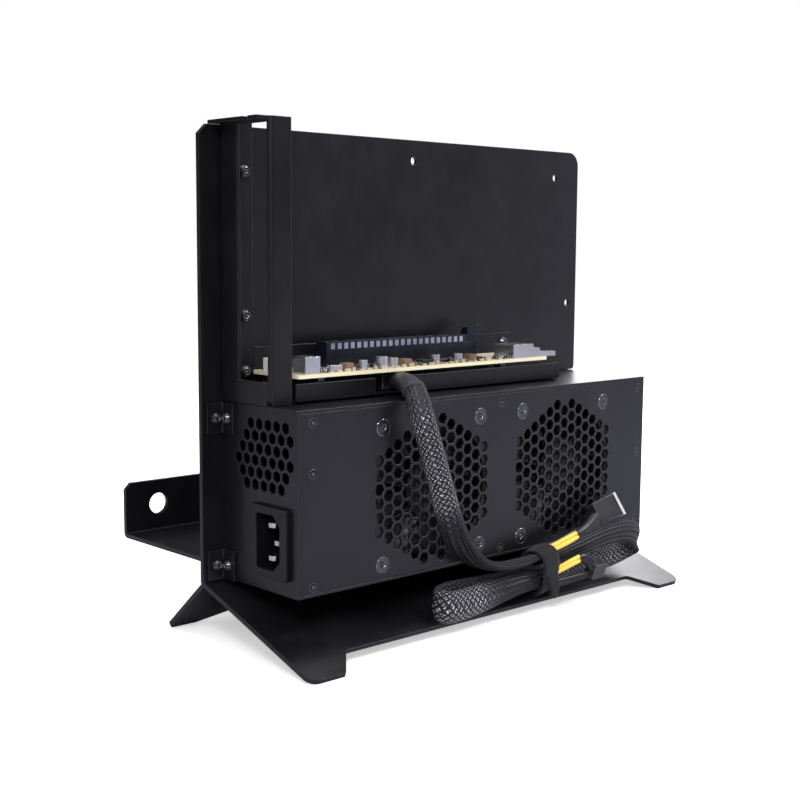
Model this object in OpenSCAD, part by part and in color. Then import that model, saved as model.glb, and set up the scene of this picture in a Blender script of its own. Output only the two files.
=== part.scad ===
// Open dock for one graphics card. A folded steel stand carries a boxed power supply with two
// fans, a riser board with a card slot above it, and a holder for the card's bracket.
// X runs along the back plate, Y to the back, Z up. The origin is on the floor, in the middle
// of the ground that the stand covers.

/* [Stand] */
// Width of the back plate
stand_w = 245; // [230:1:300]
// Thickness of the stand's sheet
sheet_t = 2; // [1.5:0.1:2.5]
// Height of the back plate above its bend
plate_h = 195.7; // [185:0.1:240]
// Radius of the back plate's top right corner
plate_round = 7; // [2:0.5:15]
// Cut at the back plate's top left corner
plate_cut = 4; // [1:0.5:10]
// Height of the bend above the floor
bend_z = 27.6; // [24:0.1:34]
// Slope of the front foot plate in degrees
front_slope = 19; // [15:0.5:24]
// Inside radius of the folds
fold_r = 0.6; // [0.3:0.1:1.5]
// Length of the front feet below the edge between them
foot_l = 13.3; // [8:0.1:18]
// Width of a front foot at its tip
foot_tip_w = 18; // [12:0.5:24]
// Width of a front foot at its root
foot_root_w = 28.5; // [26:0.5:36]
// Depth of the notch in the back plate's right edge, beside the supply box
notch_d = 8.5; // [4:0.5:12]
// Diameter of the spare holes in the back plate
spare_d = 4; // [3:0.1:5]

/* [Rear support] */
// Distance of the rear support's ends from the back plate's edges
rear_inset = 1.8; // [0.5:0.1:5]
// Reach of the tray behind the back plate's front face
tray_depth = 68.2; // [55:0.1:90]
// Height of the tray's underside above the floor
tray_z = 35.8; // [34:0.1:42]
// Height of the tray's flange
flange_h = 25.8; // [22:0.1:35]
// Cut at the flange's corners
flange_cut = 3; // [1:0.5:6]
// Diameter of the flange's round holes
flange_hole_d = 10; // [6:0.5:14]
// Distance of a round hole from the end of the flange
flange_hole_x = 17.8; // [12:0.1:30]
// Height of the round holes above the tray's underside
flange_hole_z = 14.4; // [9:0.1:18]
// Height of the fold between the rear section and the rear feet
leg_z = 26; // [22:0.1:27]
// Slope of the rear feet in degrees
rear_slope = 41; // [35:0.5:50]
// Length of the rear feet below the edge between them
rear_foot_l = 6.2; // [4:0.1:9]
// Width of a rear foot at its tip
rear_tip_w = 15; // [10:0.5:20]
// Width of a rear foot at its root
rear_root_w = 33; // [25:0.5:40]

/* [Supply box] */
// Length of the case
case_l = 228.1; // [215:0.1:235]
// Depth of the case
case_d = 52; // [48:0.1:60]
// Sheet thickness of the case and its cover
case_wall = 1.2; // [1:0.1:1.5]
// Room above and below the fans
fan_room = 2.9; // [2.2:0.1:6]
// Distance of the case from the back plate's left edge
case_inset = 11.3; // [10:0.1:14]
// Clearance round the cover in the case
cover_gap = 0.2; // [0.1:0.05:0.3]
// Length of the tabs that carry the cover
tab_l = 10; // [8:0.5:12]
// Height of the tabs in the case's corners
tab_h = 28; // [26:1:30]
// Height of the tabs above and below the gap between the fans
tab_mid_h = 8; // [6:0.5:9]
// Distance of the left cover screws from the case's end
screw_in_l = 8.1; // [6:0.1:8.5]
// Distance of the right cover screws from the case's end
screw_in_r = 4.5; // [4.5:0.1:8]
// Distance of the upper and lower cover screws from the case's edges
screw_in_z = 5.5; // [5:0.1:6.5]
// Diameter of a cover screw's head
cover_head_d = 4; // [3.6:0.1:4.4]

/* [Grilles] */
// Distance between neighbouring holes of a fan grille
hex_pitch = 6.2; // [6:0.05:6.4]
// Width of a grille hole across its flats
hex_hole = 5; // [4:0.1:5.2]
// Distance between neighbouring holes of the end vent
vent_pitch = 6; // [5.6:0.05:6.2]
// Width of a vent hole across its flats
vent_hole = 4.7; // [4:0.1:5]
// Height of the vent's longest row above the case's bottom
vent_z = 54.7; // [54:0.1:58]
// Distance of the vent's first column from the back plate
vent_y = 10.7; // [9:0.1:11]

/* [Fans] */
// Side of a fan's frame
fan_size = 70; // [66:0.5:74]
// Depth of a fan's frame
fan_depth = 15; // [12:0.5:20]
// Distance of a fan screw from the frame's sides
fan_ear = 5; // [4.5:0.1:6]
// Wall between the fan's duct and the middle of its sides
fan_rim = 1.6; // [1:0.1:3]
// Diameter of the rotor's hub
hub_d = 28; // [24:0.5:36]
// Diameter of the rotor's shaft
shaft_d = 3; // [2:0.1:4]
// Radial clearance of the shaft in its bearing
shaft_gap = 0.05; // [0.02:0.01:0.09]
// Clearance of the blades in the duct
blade_gap = 1; // [0.6:0.1:2]
// Number of blades
blade_n = 9; // [5:1:11]
// Place of fan 1's middle as a share of the case's length
fan_1_share = 0.336; // [0.32:0.001:0.34]
// Place of fan 2's middle as a share of the case's length
fan_2_share = 0.725; // [0.72:0.001:0.74]
// Distance of the fans' middles below the middle of the case
fan_drop = 1.6; // [0:0.1:2]
// Diameter of a fan screw's head
fan_head_d = 7.6; // [6.5:0.1:8]
// Diameter of a fan screw's shank
fan_screw_d = 3.6; // [3:0.1:4]

/* [Mains inlet] */
// Height of the inlet above the case's bottom
inlet_z = 21.6; // [19:0.1:23]
// Distance of the inlet from the back plate
inlet_y = 34.1; // [32:0.1:35]
// Length of the recess
recess_l = 23.5; // [22:0.1:24.5]
// Width of the recess
recess_w = 16; // [15:0.1:17]
// Depth of the recess
recess_d = 15; // [12:0.1:18]
// Cut of the recess's two front corners
recess_cut = 4.5; // [3:0.1:5]
// Wall round the recess
inlet_wall = 1.8; // [1.4:0.1:2.2]
// Width of the bezel round the inlet body
bezel_lip = 3; // [2:0.1:4]
// Thickness of the bezel
bezel_t = 2; // [1:0.1:2.5]
// Distance between the two current pins
pin_step = 14; // [12:0.1:15]
// Offset of the earth pin
earth_off = 4; // [3:0.1:4.5]
// Width of a pin
pin_w = 4; // [3:0.1:4.5]
// Thickness of a pin
pin_t = 2; // [1.5:0.1:2.2]

/* [Bracket holder] */
// Distance of the holder's side wall from the back plate's left edge
holder_x = 10; // [9:0.1:11]
// Sheet thickness of the holder
holder_t = 1.5; // [1.2:0.1:2]
// Depth of the holder
holder_d = 35.9; // [32:0.1:40]
// Height of the holder
holder_h = 118; // [110:0.1:124]
// Width of its front strip
strip_w = 11; // [9:0.1:12]
// Width of its flange on the back plate
flange_w = 16.5; // [15:0.1:17]
// Depth of the wall behind the window
window_back = 13.2; // [10:0.1:16]
// Height of the wall below the window
window_sill = 9.5; // [6:0.1:12]
// Reach of the rail that the card's bracket is screwed to
rail_w = 5.4; // [5:0.1:8]
// Width of the rail's screw notch
rail_notch = 3.6; // [3:0.1:4]
// Distance of the holder's screws from its outer face
holder_screw_x = 11.8; // [10:0.1:12]

/* [Riser board] */
// Gap between the case, the tray and the holder
stack_gap = 0.4; // [0.3:0.05:0.8]
// Distance of the board tray from the back plate's left edge
tray_x = 24; // [23:0.1:26]
// Length of the board tray
tray_l = 168; // [164:0.5:180]
// Depth of the board tray
tray_d = 34.9; // [33:0.1:38]
// Height of the tray's front flange
tray_front_h = 8.3; // [6:0.1:9]
// Height of the tray's flange on the back plate
tray_back_h = 22; // [20:0.1:26]
// Width of the gap in the front flange
lead_gap_w = 22; // [18:0.5:26]
// Distance of the gap's middle from the tray's left end
lead_gap_x = 55.3; // [50:0.1:58]
// Length of the board
board_l = 157.4; // [154:0.1:160]
// Depth of the board
board_w = 33.2; // [31:0.1:34]
// Thickness of the board
board_t = 1.6; // [1.2:0.1:2]
// Height of the board's standoffs
standoff_h = 8.9; // [8:0.1:10]
// Distance of the board's left end from the tray's
board_over = 1.1; // [0.8:0.1:1.5]
// Distance of the board from the back plate
board_back = 2.3; // [2:0.1:3]

/* [Card slot] */
// Length of the slot
slot_l = 89; // [86:0.5:92]
// Width of the slot
slot_w = 7.5; // [7:0.1:8]
// Height of the slot above the board
slot_h = 11.3; // [10.5:0.1:12]
// Distance of the slot from the board's left end
slot_x = 32; // [30:0.5:36]
// Distance of the slot's middle from the back plate
slot_y = 10.8; // [9.5:0.1:12]
// Width of the groove for the card's edge
groove_w = 2; // [1.8:0.05:2.2]
// Depth of the groove
groove_d = 8; // [7:0.1:8.5]
// Distance of the key from the slot's left end
key_x = 14.5; // [12:0.1:17]
// Number of contact windows on each side
window_n = 22; // [16:1:26]

/* [Screws] */
// Diameter of a pan head
pan_d = 5.6; // [5:0.1:6]
// Height of a pan head
pan_h = 1.9; // [1.5:0.1:2.4]
// Diameter of the small screws' shanks
shank_d = 3; // [2.5:0.1:3]

/* [Power lead] */
// Diameter of the sleeved lead
lead_d = 10; // [9:0.5:10.5]
// Length of the hank
hank_l = 144; // [140:1:146]
// Height of the hank at its strap
hank_h = 21; // [20:0.5:22]
// Thickness of the hank
hank_w = 11; // [10:0.5:12]
// Width of the strap
strap_w = 11; // [8:0.5:14]
// Thickness of the strap
strap_t = 1.4; // [1:0.1:2]

/* [Hidden] */

black = "#1a1b1e";
steel = "#b9bcc0";
arc_steps = 6;

// Stand: the front feet end where the sheet's lower edge meets the floor
front_l = (bend_z - sheet_t * cos(front_slope)) / sin(front_slope);
front_reach = front_l * cos(front_slope);
plate_y = (front_reach - tray_depth) / 2;
back_y = plate_y + sheet_t;
plate_x = -stand_w / 2;
plate_top = bend_z + plate_h;
front_run = fold_r * tan((90 - front_slope) / 2);
rear_x = plate_x + rear_inset;
sec_back = back_y + sheet_t;
rear_w = stand_w - 2 * rear_inset;
rear_run = fold_r * tan((90 - rear_slope) / 2);
rear_l = (leg_z - sheet_t * cos(rear_slope)) / sin(rear_slope);
tray_end = plate_y + tray_depth;
rear_screw_z = (leg_z + tray_z) / 2;
rear_screw_x = [-0.45 * rear_w, -0.15 * rear_w, 0.15 * rear_w, 0.45 * rear_w];

// Supply box
case_x = plate_x + case_inset;
case_z = bend_z + front_run + 0.2;
case_h = fan_size + 2 * (fan_room + case_wall);
case_top = case_z + case_h;
case_front = plate_y - case_d;
cover_back = case_front + case_wall;
fan_z = case_z + case_h / 2 - fan_drop;
fan_x = [case_x + fan_1_share * case_l, case_x + fan_2_share * case_l];
fan_back = cover_back + fan_depth;
screw_half = fan_size / 2 - fan_ear;
duct_r = fan_size / 2 - fan_rim;
mid_x = (fan_x[0] + fan_x[1]) / 2;
mid_tab = min(12, fan_x[1] - fan_x[0] - fan_size - 2);
cover_marks = [
    [case_x + screw_in_l, case_top - screw_in_z],
    [case_x + screw_in_l, case_top - screw_in_z - 21],
    [case_x + screw_in_l, case_z + screw_in_z - 1.5],
    [case_x + case_l - screw_in_r, case_top - screw_in_z],
    [case_x + case_l - screw_in_r, case_z + case_h / 2],
    [case_x + case_l - screw_in_r, case_z + screw_in_z - 1.5],
    [mid_x, case_top - screw_in_z],
    [mid_x, case_z + screw_in_z - 1.5]
];
case_screw_marks = [
    [case_x + 30, case_z + 20], [case_x + 30, case_top - 16],
    [case_x + case_l - 30, case_z + 20], [case_x + case_l - 30, case_top - 16]
];
in_y = plate_y - inlet_y;
in_z = case_z + inlet_z;
body_l = recess_l + 2 * inlet_wall;
body_w = recess_w + 2 * inlet_wall;

// Riser board
shelf_z = case_top + stack_gap;
board_x = plate_x + tray_x + board_over;
board_z = shelf_z + holder_t + standoff_h;
board_top = board_z + board_t;
board_y = plate_y - board_back;
tray_left = plate_x + tray_x;
board_front = board_y - board_w;
board_k = board_l / 157.4;
hole_front = 5.6;
hole_back = 5;
board_marks = [
    [board_x + 14.8 * board_k, board_front + hole_front], [board_x + hole_back, board_y - hole_back],
    [board_x + board_l - 29 * board_k, board_front + hole_front],
    [board_x + board_l - hole_back, board_y - hole_back]
];
slot_left = board_x + slot_x;
slot_mid = plate_y - slot_y;
slot_top = board_top + slot_h;
latch_x = slot_left + slot_l + 4;
latch_z = board_top + 5;
latch_w = slot_w - 3.2;
latch_pin_d = 2;

// Bracket holder
wall_x = plate_x + holder_x;
holder_z = case_top + stack_gap;
holder_top = holder_z + holder_h;
holder_marks = [
    [wall_x + holder_screw_x, holder_z + 11.2],
    [wall_x + holder_screw_x, holder_z + 35.6],
    [wall_x + holder_screw_x, holder_z + 97.4]
];
tray_marks = [
    [tray_left + 18.5, shelf_z + tray_back_h - 5],
    [tray_left + tray_l - 6, shelf_z + tray_back_h - 5]
];
spare_marks = [
    [plate_x + 123.2, bend_z + 185.9], [plate_x + 226.6, bend_z + 181.8],
    [plate_x + 238.2, bend_z + 115.4]
];

// Power lead: its hank lies on the front foot plate, in that plate's own slope
hank_x = -40;
hank_s = 59.5;
hank_seat = strap_t + 0.25;
strap_x = 24;
strap_u = strap_x - hank_x;
wire_d = 2.2;
lead_points = [
    [-45.5, -43.5, 112.8], [-48.6, -50.4, 111.4], [-51.2, -55.6, 107.6], [-52.2, -58.8, 102.3],
    [-51.2, -60.2, 96.3], [-48.8, -60.4, 89.8], [-46.2, -60.2, 83.2], [-43.6, -60, 76.6],
    [-40.9, -59.8, 69.6], [-38.2, -59.5, 62.6], [-35.4, -59.3, 55.4], [-32.4, -59.2, 48.3],
    [-28.2, -59.2, 41.4], [-22.2, -59.3, 35.2], [-14.4, -59.5, 30.2], [-5, -59.5, 27.4],
    [6, -59.2, 26.3]
];
six_place = [70.5, -61.2, 36.9];
six_turn = [-28, -14, -8];
six_size = [15.5, 7, 11.3];
two_size = [8.5, 6, 7.6];
two_x = 56;
two_s = hank_s + hank_w / 2 + two_size.y + 0.4;
two_h = 8.4;
boot_start = [-36.5, -25.5, 112.8];
boot_d = 8.2;

// The unit vector along v, and v turned by a degrees
function unit(v) = v / norm(v);
function turned(v, a) = [v.x * cos(a) - v.y * sin(a), v.x * sin(a) + v.y * cos(a)];

// Points of the round corner of radius r at b, between its neighbours a and c
function corner_arc(a, b, c, r) =
    r == 0 ? [b] :
    let (
        u = unit(a - b),
        w = unit(c - b),
        half = acos(u * w) / 2,
        centre = b + unit(u + w) * r / sin(half),
        first = b + u * r / tan(half) - centre,
        last = b + w * r / tan(half) - centre,
        turn = atan2(cross(first, last), first * last)
    )
    [for (i = [0:arc_steps]) centre + turned(first, turn * i / arc_steps)];

// Outline through corners given as [x, y, radius]
function rounded(p) = [
    for (i = [0:len(p) - 1])
        let (n = len(p), a = p[(i + n - 1) % n], b = p[i], c = p[(i + 1) % n])
        each corner_arc([a.x, a.y], [b.x, b.y], [c.x, c.y], b.z)
];

// Corners of a rectangle from [x0, y0] to [x1, y1] with one radius
function rect(x0, y0, x1, y1, r = 0) = [[x0, y0, r], [x1, y0, r], [x1, y1, r], [x0, y1, r]];

// A flat sheet with a rounded outline, from z = 0 to z = t
module sheet(p, t) {
    linear_extrude(t) polygon(rounded(p));
}

// Stands a sheet drawn in X and Z up, with its front face at y and its thickness t behind it
module upright(y, t) {
    translate([0, y + t, 0]) rotate([90, 0, 0]) children();
}

// A fold of a sheet along X: an arc of the sheet from the direction +Y turned towards +Z
module fold(angle, w, t = sheet_t, r = fold_r) {
    rotate([90, 0, 90]) rotate_extrude(angle = angle, $fn = 64) translate([r, 0]) square([t, w]);
}

// Lays children on the front foot plate: x along it, s down its slope, h above it
module on_slope(x, s, h) {
    translate([0, plate_y, bend_z]) rotate([front_slope, 0, 0]) translate([x, -s, h]) children();
}

// A pan-head screw along +Z with its head's underside at z = 0 and its shank below
module pan_screw(l, d = pan_d, h = pan_h) {
    rotate_extrude($fn = 32) polygon([
        [0, -l], [shank_d / 2, -l], [shank_d / 2, 0], [d / 2, 0], [d / 2, h * 0.45],
        [d * 0.34, h], [d * 0.16, h], [d * 0.1, h * 0.45], [0, h * 0.45]
    ]);
}

// A countersunk screw along +Z, flush at z = 0
module flat_screw(l, d, s) {
    rotate_extrude($fn = 32) polygon([
        [0, -l], [s / 2, -l], [s / 2, -(d - s) / 2], [d / 2, 0], [d * 0.2, 0], [d * 0.1, -d * 0.12],
        [0, -d * 0.12]
    ]);
}

// Turns a screw drawn along +Z to stand out of a face that looks to the front or to the left
module to_front() {
    rotate([90, 0, 0]) children();
}

module to_left() {
    rotate([0, -90, 0]) children();
}

module to_back() {
    rotate([-90, 0, 0]) children();
}

// The space of a countersunk head of diameter d, from z = 0 through the cover's sheet
module sink(d) {
    translate([0, 0, -case_wall]) cylinder(h = case_wall, d1 = d - 2 * case_wall, d2 = d, $fn = 32);
}

module stand_plate() {
    upright_z = bend_z + front_run;
    foot_s = front_l - foot_l;
    right = plate_x + stand_w;
    color(black) difference() {
        union() {
            upright(plate_y, sheet_t) sheet([
                [plate_x, upright_z, 0],
                [right, upright_z, 0],
                [right, case_z + 14, 2],
                [right - notch_d, case_z + 18, 2],
                [right - notch_d, case_top, 2],
                [right, case_top, 2],
                [right, plate_top, plate_round],
                [plate_x + plate_cut, plate_top, 0],
                [plate_x, plate_top - plate_cut, 0]
            ], sheet_t);
            translate([plate_x, plate_y - fold_r, upright_z])
                rotate([front_slope - 90, 0, 0]) fold(90 - front_slope, stand_w);
            on_slope(0, 0, -sheet_t) sheet([
                [plate_x, -front_run, 0],
                [plate_x, -front_l, 5],
                [plate_x + foot_tip_w, -front_l, 1.5],
                [plate_x + foot_root_w, -foot_s, 3],
                [right - foot_root_w, -foot_s, 3],
                [right - foot_tip_w, -front_l, 1.5],
                [right, -front_l, 5],
                [right, -front_run, 0]
            ], sheet_t);
        }
        for (m = concat(holder_marks, tray_marks, case_screw_marks))
            translate([m.x, back_y + 1, m.y]) to_front()
                cylinder(h = sheet_t + 2, d = shank_d + 0.2, $fn = 32);
        for (m = spare_marks)
            translate([m.x, back_y + 1, m.y]) to_front() cylinder(h = sheet_t + 2, d = spare_d, $fn = 32);
        for (x = rear_screw_x)
            translate([x, back_y + 1, rear_screw_z]) to_front()
                cylinder(h = sheet_t + 2, d = shank_d + 0.2, $fn = 32);
        for (z = bracket_z)
            translate([plate_x + bracket_plate_x, back_y + 1, z]) to_front()
                cylinder(h = sheet_t + 2, d = shank_d + 0.2, $fn = 32);
    }
}

module rear_support() {
    a = rear_slope;
    t = sheet_t;
    outer_r = sheet_t + fold_r;
    rear_s = rear_l - rear_foot_l;
    right = rear_x + rear_w;
    top = tray_z + flange_h;
    color(black) difference() {
        translate([rear_x, 0, 0]) rotate([90, 0, 90]) sheet([
            [sec_back + rear_l * cos(a) - t * sin(a), 0, 0],
            [back_y, leg_z - t * (1 - sin(a)) / cos(a), outer_r],
            [back_y, tray_z + t, outer_r],
            [tray_end - t, tray_z + t, fold_r],
            [tray_end - t, top, 0],
            [tray_end, top, 0],
            [tray_end, tray_z, outer_r],
            [sec_back, tray_z, fold_r],
            [sec_back, leg_z, fold_r],
            [sec_back + rear_l * cos(a), leg_z - rear_l * sin(a), 0]
        ], rear_w);
        translate([0, sec_back, leg_z]) rotate([-a, 0, 0]) translate([0, 0, -t - 1])
            linear_extrude(t + 2) difference() {
                translate([rear_x - 1, rear_s - 3]) square([rear_w + 2, rear_foot_l + 4]);
                polygon(rounded([
                    [rear_x, rear_run, 0],
                    [right, rear_run, 0],
                    [right, rear_l, 3],
                    [right - rear_tip_w, rear_l, 1.5],
                    [right - rear_root_w, rear_s, 3],
                    [rear_x + rear_root_w, rear_s, 3],
                    [rear_x + rear_tip_w, rear_l, 1.5],
                    [rear_x, rear_l, 3]
                ]));
            }
        for (side = [-1, 1])
            translate([0, tray_end + 1, 0]) to_front() linear_extrude(t + 2) polygon([
                [side * rear_w / 2, top - flange_cut], [side * (rear_w / 2 - flange_cut), top],
                [side * (rear_w / 2 + 1), top + flange_cut + 1]
            ]);
        for (x = [rear_x + flange_hole_x, right - flange_hole_x])
            translate([x, tray_end + 1, tray_z + flange_hole_z]) to_front()
                cylinder(h = sheet_t + 2, d = flange_hole_d, $fn = 48);
        for (x = rear_screw_x)
            translate([x, sec_back + 1, rear_screw_z]) to_front()
                cylinder(h = sheet_t + 2, d = shank_d + 0.2, $fn = 32);
    }
}

module rear_screws() {
    color(steel) for (x = rear_screw_x)
        translate([x, back_y + sheet_t, rear_screw_z]) to_back() pan_screw(2 * sheet_t);
}

// Height above the case's bottom at which the angle brackets sit, and their screw on the plate
bracket_h = 13;
bracket_leg = 9;
bracket_z = [case_z + 6.3, case_top - 7.4];
bracket_plate_x = 6.5;
bracket_end_y = 5.2;

// The end vent's holes as [y, z] from its longest row's middle
function vent_marks() = [
    for (row = [-2:3])
        let (n = row == 0 ? 7 : (abs(row) == 1 || row == 2 ? 6 : 5))
        for (i = [0:n - 1]) [-(abs(row) / 2 + i) * vent_pitch, row * vent_pitch * sin(60)]
];

// A fan grille's holes as [x, z] from the fan's middle: 13 columns, a pitch apart along each
function grille_marks() = [
    for (c = [-6:6])
        let (n = c == 0 ? 10 : 12 - abs(c))
        for (i = [0:n - 1]) [c * hex_pitch * sin(60), (i - (n - 1) / 2) * hex_pitch]
];

module supply_case() {
    tab_y = cover_back;
    in_x0 = case_x + case_wall;
    in_x1 = case_x + case_l - case_wall;
    in_z0 = case_z + case_wall;
    in_z1 = case_top - case_wall;
    color(black) difference() {
        union() {
            difference() {
                translate([case_x, case_front, case_z]) cube([case_l, case_d, case_h]);
                translate([in_x0, case_front - 1, in_z0])
                    cube([case_l - 2 * case_wall, case_d - case_wall + 1, case_h - 2 * case_wall]);
            }
            for (x = [in_x0, in_x1 - tab_l], z = [in_z0, in_z1 - tab_h])
                translate([x, tab_y, z]) cube([tab_l, case_wall, tab_h]);
            translate([in_x1 - tab_l, tab_y, case_z + case_h / 2 - tab_l / 2])
                cube([tab_l, case_wall, tab_l]);
            for (z = [in_z0, in_z1 - tab_mid_h])
                translate([mid_x - mid_tab / 2, tab_y, z]) cube([mid_tab, case_wall, tab_mid_h]);
        }
        translate([case_x - 1, in_y, in_z]) rotate([90, 0, 90]) linear_extrude(case_wall + 2)
            square([body_w + 0.4, body_l + 0.4], center = true);
        translate([case_x - 1, plate_y - vent_y, case_z + vent_z]) rotate([90, 0, 90])
            linear_extrude(case_wall + 2) for (m = vent_marks())
                translate(m) rotate(30) circle(vent_hole / 2 / cos(30), $fn = 6);
        for (m = cover_marks)
            translate([m.x, tab_y + case_wall + 1, m.y]) to_front()
                cylinder(h = case_wall + 2, d = shank_d - 0.6, $fn = 24);
        for (m = case_screw_marks)
            translate([m.x, plate_y + 1, m.y]) to_front()
                cylinder(h = case_wall + 2, d = shank_d + 0.2, $fn = 24);
        for (z = bracket_z)
            translate([case_x - 1, plate_y - bracket_end_y, z]) rotate([0, 90, 0])
                cylinder(h = case_wall + 2, d = shank_d + 0.2, $fn = 24);
    }
}

module supply_cover() {
    x0 = case_x + case_wall + cover_gap;
    z0 = case_z + case_wall + cover_gap;
    color(black) difference() {
        upright(case_front, case_wall) linear_extrude(case_wall) difference() {
            translate([x0, z0])
                square([case_l - 2 * (case_wall + cover_gap), case_h - 2 * (case_wall + cover_gap)]);
            for (x = fan_x, m = grille_marks())
                translate([x + m.x, fan_z + m.y]) circle(hex_hole / 2 / cos(30), $fn = 6);
        }
        for (x = fan_x, dx = [-1, 1], dz = [-1, 1])
            translate([x + dx * screw_half, case_front, fan_z + dz * screw_half]) to_front() {
                translate([0, 0, -case_wall - 1])
                    cylinder(h = case_wall + 2, d = fan_screw_d + 0.3, $fn = 24);
                sink(fan_head_d + 0.2);
            }
        for (m = cover_marks)
            translate([m.x, case_front, m.y]) to_front() {
                translate([0, 0, -case_wall - 1]) cylinder(h = case_wall + 2, d = shank_d - 0.4, $fn = 24);
                sink(cover_head_d + 0.2);
            }
    }
}

// A fan's frame, drawn with its front face at y = 0 and its depth towards +Y
module fan_frame() {
    base_t = 3;
    sink_d = fan_head_d - 2 * case_wall + 0.5;
    half = fan_size / 2;
    hub_y = fan_depth - base_t;
    difference() {
        union() {
            for (y = [0, fan_depth - 2.4])
                upright(y, 2.4) sheet(rect(-half, -half, half, half, 4), 2.4);
            intersection() {
                translate([0, fan_depth, 0]) to_front() cylinder(h = fan_depth, r = duct_r + 1.8, $fn = 96);
                translate([-half, 0, -half]) cube([fan_size, fan_depth, fan_size]);
            }
            for (dx = [-1, 1], dz = [-1, 1])
                translate([dx * screw_half, fan_depth, dz * screw_half]) to_front()
                    cylinder(h = fan_depth, r = fan_ear - 0.8, $fn = 32);
        }
        translate([0, fan_depth + 1, 0]) to_front() cylinder(h = fan_depth + 2, r = duct_r, $fn = 96);
        for (dx = [-1, 1], dz = [-1, 1])
            translate([dx * screw_half, fan_depth + 1, dz * screw_half]) to_front()
                cylinder(h = fan_depth + 2, d = fan_screw_d + 0.2, $fn = 32);
        for (dx = [-1, 1], dz = [-1, 1])
            translate([dx * screw_half, 0, dz * screw_half]) to_back()
                cylinder(h = sink_d / 2 - fan_screw_d / 2, d1 = sink_d, d2 = fan_screw_d, $fn = 32);
    }
    difference() {
        union() {
            translate([0, fan_depth, 0]) to_front() cylinder(h = base_t, d = hub_d, $fn = 64);
            translate([0, fan_depth, 0]) to_front()
                cylinder(h = fan_depth - 4.5, r = shaft_d / 2 + 2, $fn = 32);
            for (a = [20:90:290])
                rotate([0, a, 0]) translate([hub_d / 2 - 1, hub_y, -1.5])
                    cube([duct_r + 0.8 - hub_d / 2 + 1, base_t - 0.6, 3]);
        }
        translate([0, fan_depth + 1, 0]) to_front()
            cylinder(h = fan_depth, r = shaft_d / 2 + shaft_gap, $fn = 32);
    }
}

// A rotor: a hub cup open to the back, a shaft in its middle and cambered blades
module fan_rotor() {
    cup_front = 1.2;
    cup_back = fan_depth - 3.6;
    blade_r = duct_r - blade_gap;
    bow = 16;
    difference() {
        translate([0, cup_back, 0]) to_front() cylinder(h = cup_back - cup_front, d = hub_d, $fn = 64);
        translate([0, cup_back + 1, 0]) to_front()
            cylinder(h = cup_back - cup_front - 0.4, d = hub_d - 3, $fn = 64);
    }
    translate([0, fan_depth - 0.6, 0]) to_front()
        cylinder(h = fan_depth - 0.6 - cup_front - 1, d = shaft_d, $fn = 32);
    for (i = [0:blade_n - 1])
        rotate([0, i * 360 / blade_n, 0]) intersection() {
            difference() {
                translate([0, cup_back - 0.8, 0]) to_front()
                    cylinder(h = cup_back - cup_front - 1.6, r = blade_r, $fn = 96);
                translate([0, cup_back, 0]) to_front()
                    cylinder(h = cup_back - cup_front, d = hub_d - 1, $fn = 64);
            }
            translate([0, fan_depth / 2, 0]) rotate([42, 0, 0]) translate([0, -bow, 0]) difference() {
                rotate([0, 90, 0]) cylinder(h = blade_r, r = bow, $fn = 96);
                translate([-1, 0, 0]) rotate([0, 90, 0]) cylinder(h = blade_r + 2, r = bow - 1.1, $fn = 96);
                translate([-1, -bow - 1, -bow - 1]) cube([blade_r + 2, bow * 1.35, 2 * bow + 2]);
            }
        }
}

module at_fan(i) {
    translate([fan_x[i], cover_back, fan_z]) children();
}

module fan_1_frame() {
    color("#202124") at_fan(0) fan_frame();
}

module fan_1_rotor() {
    color("#2a2b2e") at_fan(0) fan_rotor();
}

module fan_2_frame() {
    color("#202124") at_fan(1) fan_frame();
}

module fan_2_rotor() {
    color("#2a2b2e") at_fan(1) fan_rotor();
}

module fan_screws() {
    color(steel) for (x = fan_x, dx = [-1, 1], dz = [-1, 1])
        translate([x + dx * screw_half, case_front + 0.1, fan_z + dz * screw_half]) to_front()
            flat_screw(fan_depth * 0.6, fan_head_d, fan_screw_d);
}

module cover_screws() {
    color("#3a3b3e") for (m = cover_marks)
        translate([m.x, case_front + 0.1, m.y]) to_front() flat_screw(5, cover_head_d, shank_d - 0.8);
}

// The inlet's outlines, drawn with x to the back and y up: the recess has two cut front corners
function recess_outline(grow) =
    let (a = recess_w / 2 + grow, b = recess_l / 2 + grow, c = recess_cut + grow * 0.586)
    [[-a + c, -b, 0], [a, -b, 1], [a, b, 1], [-a + c, b, 0], [-a, b - c, 0], [-a, -b + c, 0]];

module at_inlet(x) {
    translate([x, in_y, in_z]) rotate([90, 0, 90]) children();
}

module inlet_body() {
    bw = body_w / 2 + bezel_lip;
    bl = body_l / 2 + bezel_lip * 0.55;
    color("#111214") difference() {
        union() {
            at_inlet(case_x - bezel_t) sheet(rect(-bw, -bl, bw, bl, 1.5), bezel_t);
            at_inlet(case_x - 0.5)
                sheet(rect(-body_w / 2, -body_l / 2, body_w / 2, body_l / 2, 1.5), recess_d + 2.5);
        }
        at_inlet(case_x - bezel_t - 1) sheet(recess_outline(0), recess_d + 1);
        for (m = [[0, pin_step / 2], [0, -pin_step / 2], [-earth_off, 0]])
            at_inlet(case_x) translate([m.x - pin_w / 2, m.y - pin_t / 2, 0]) cube([pin_w, pin_t, 40]);
    }
}

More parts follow.
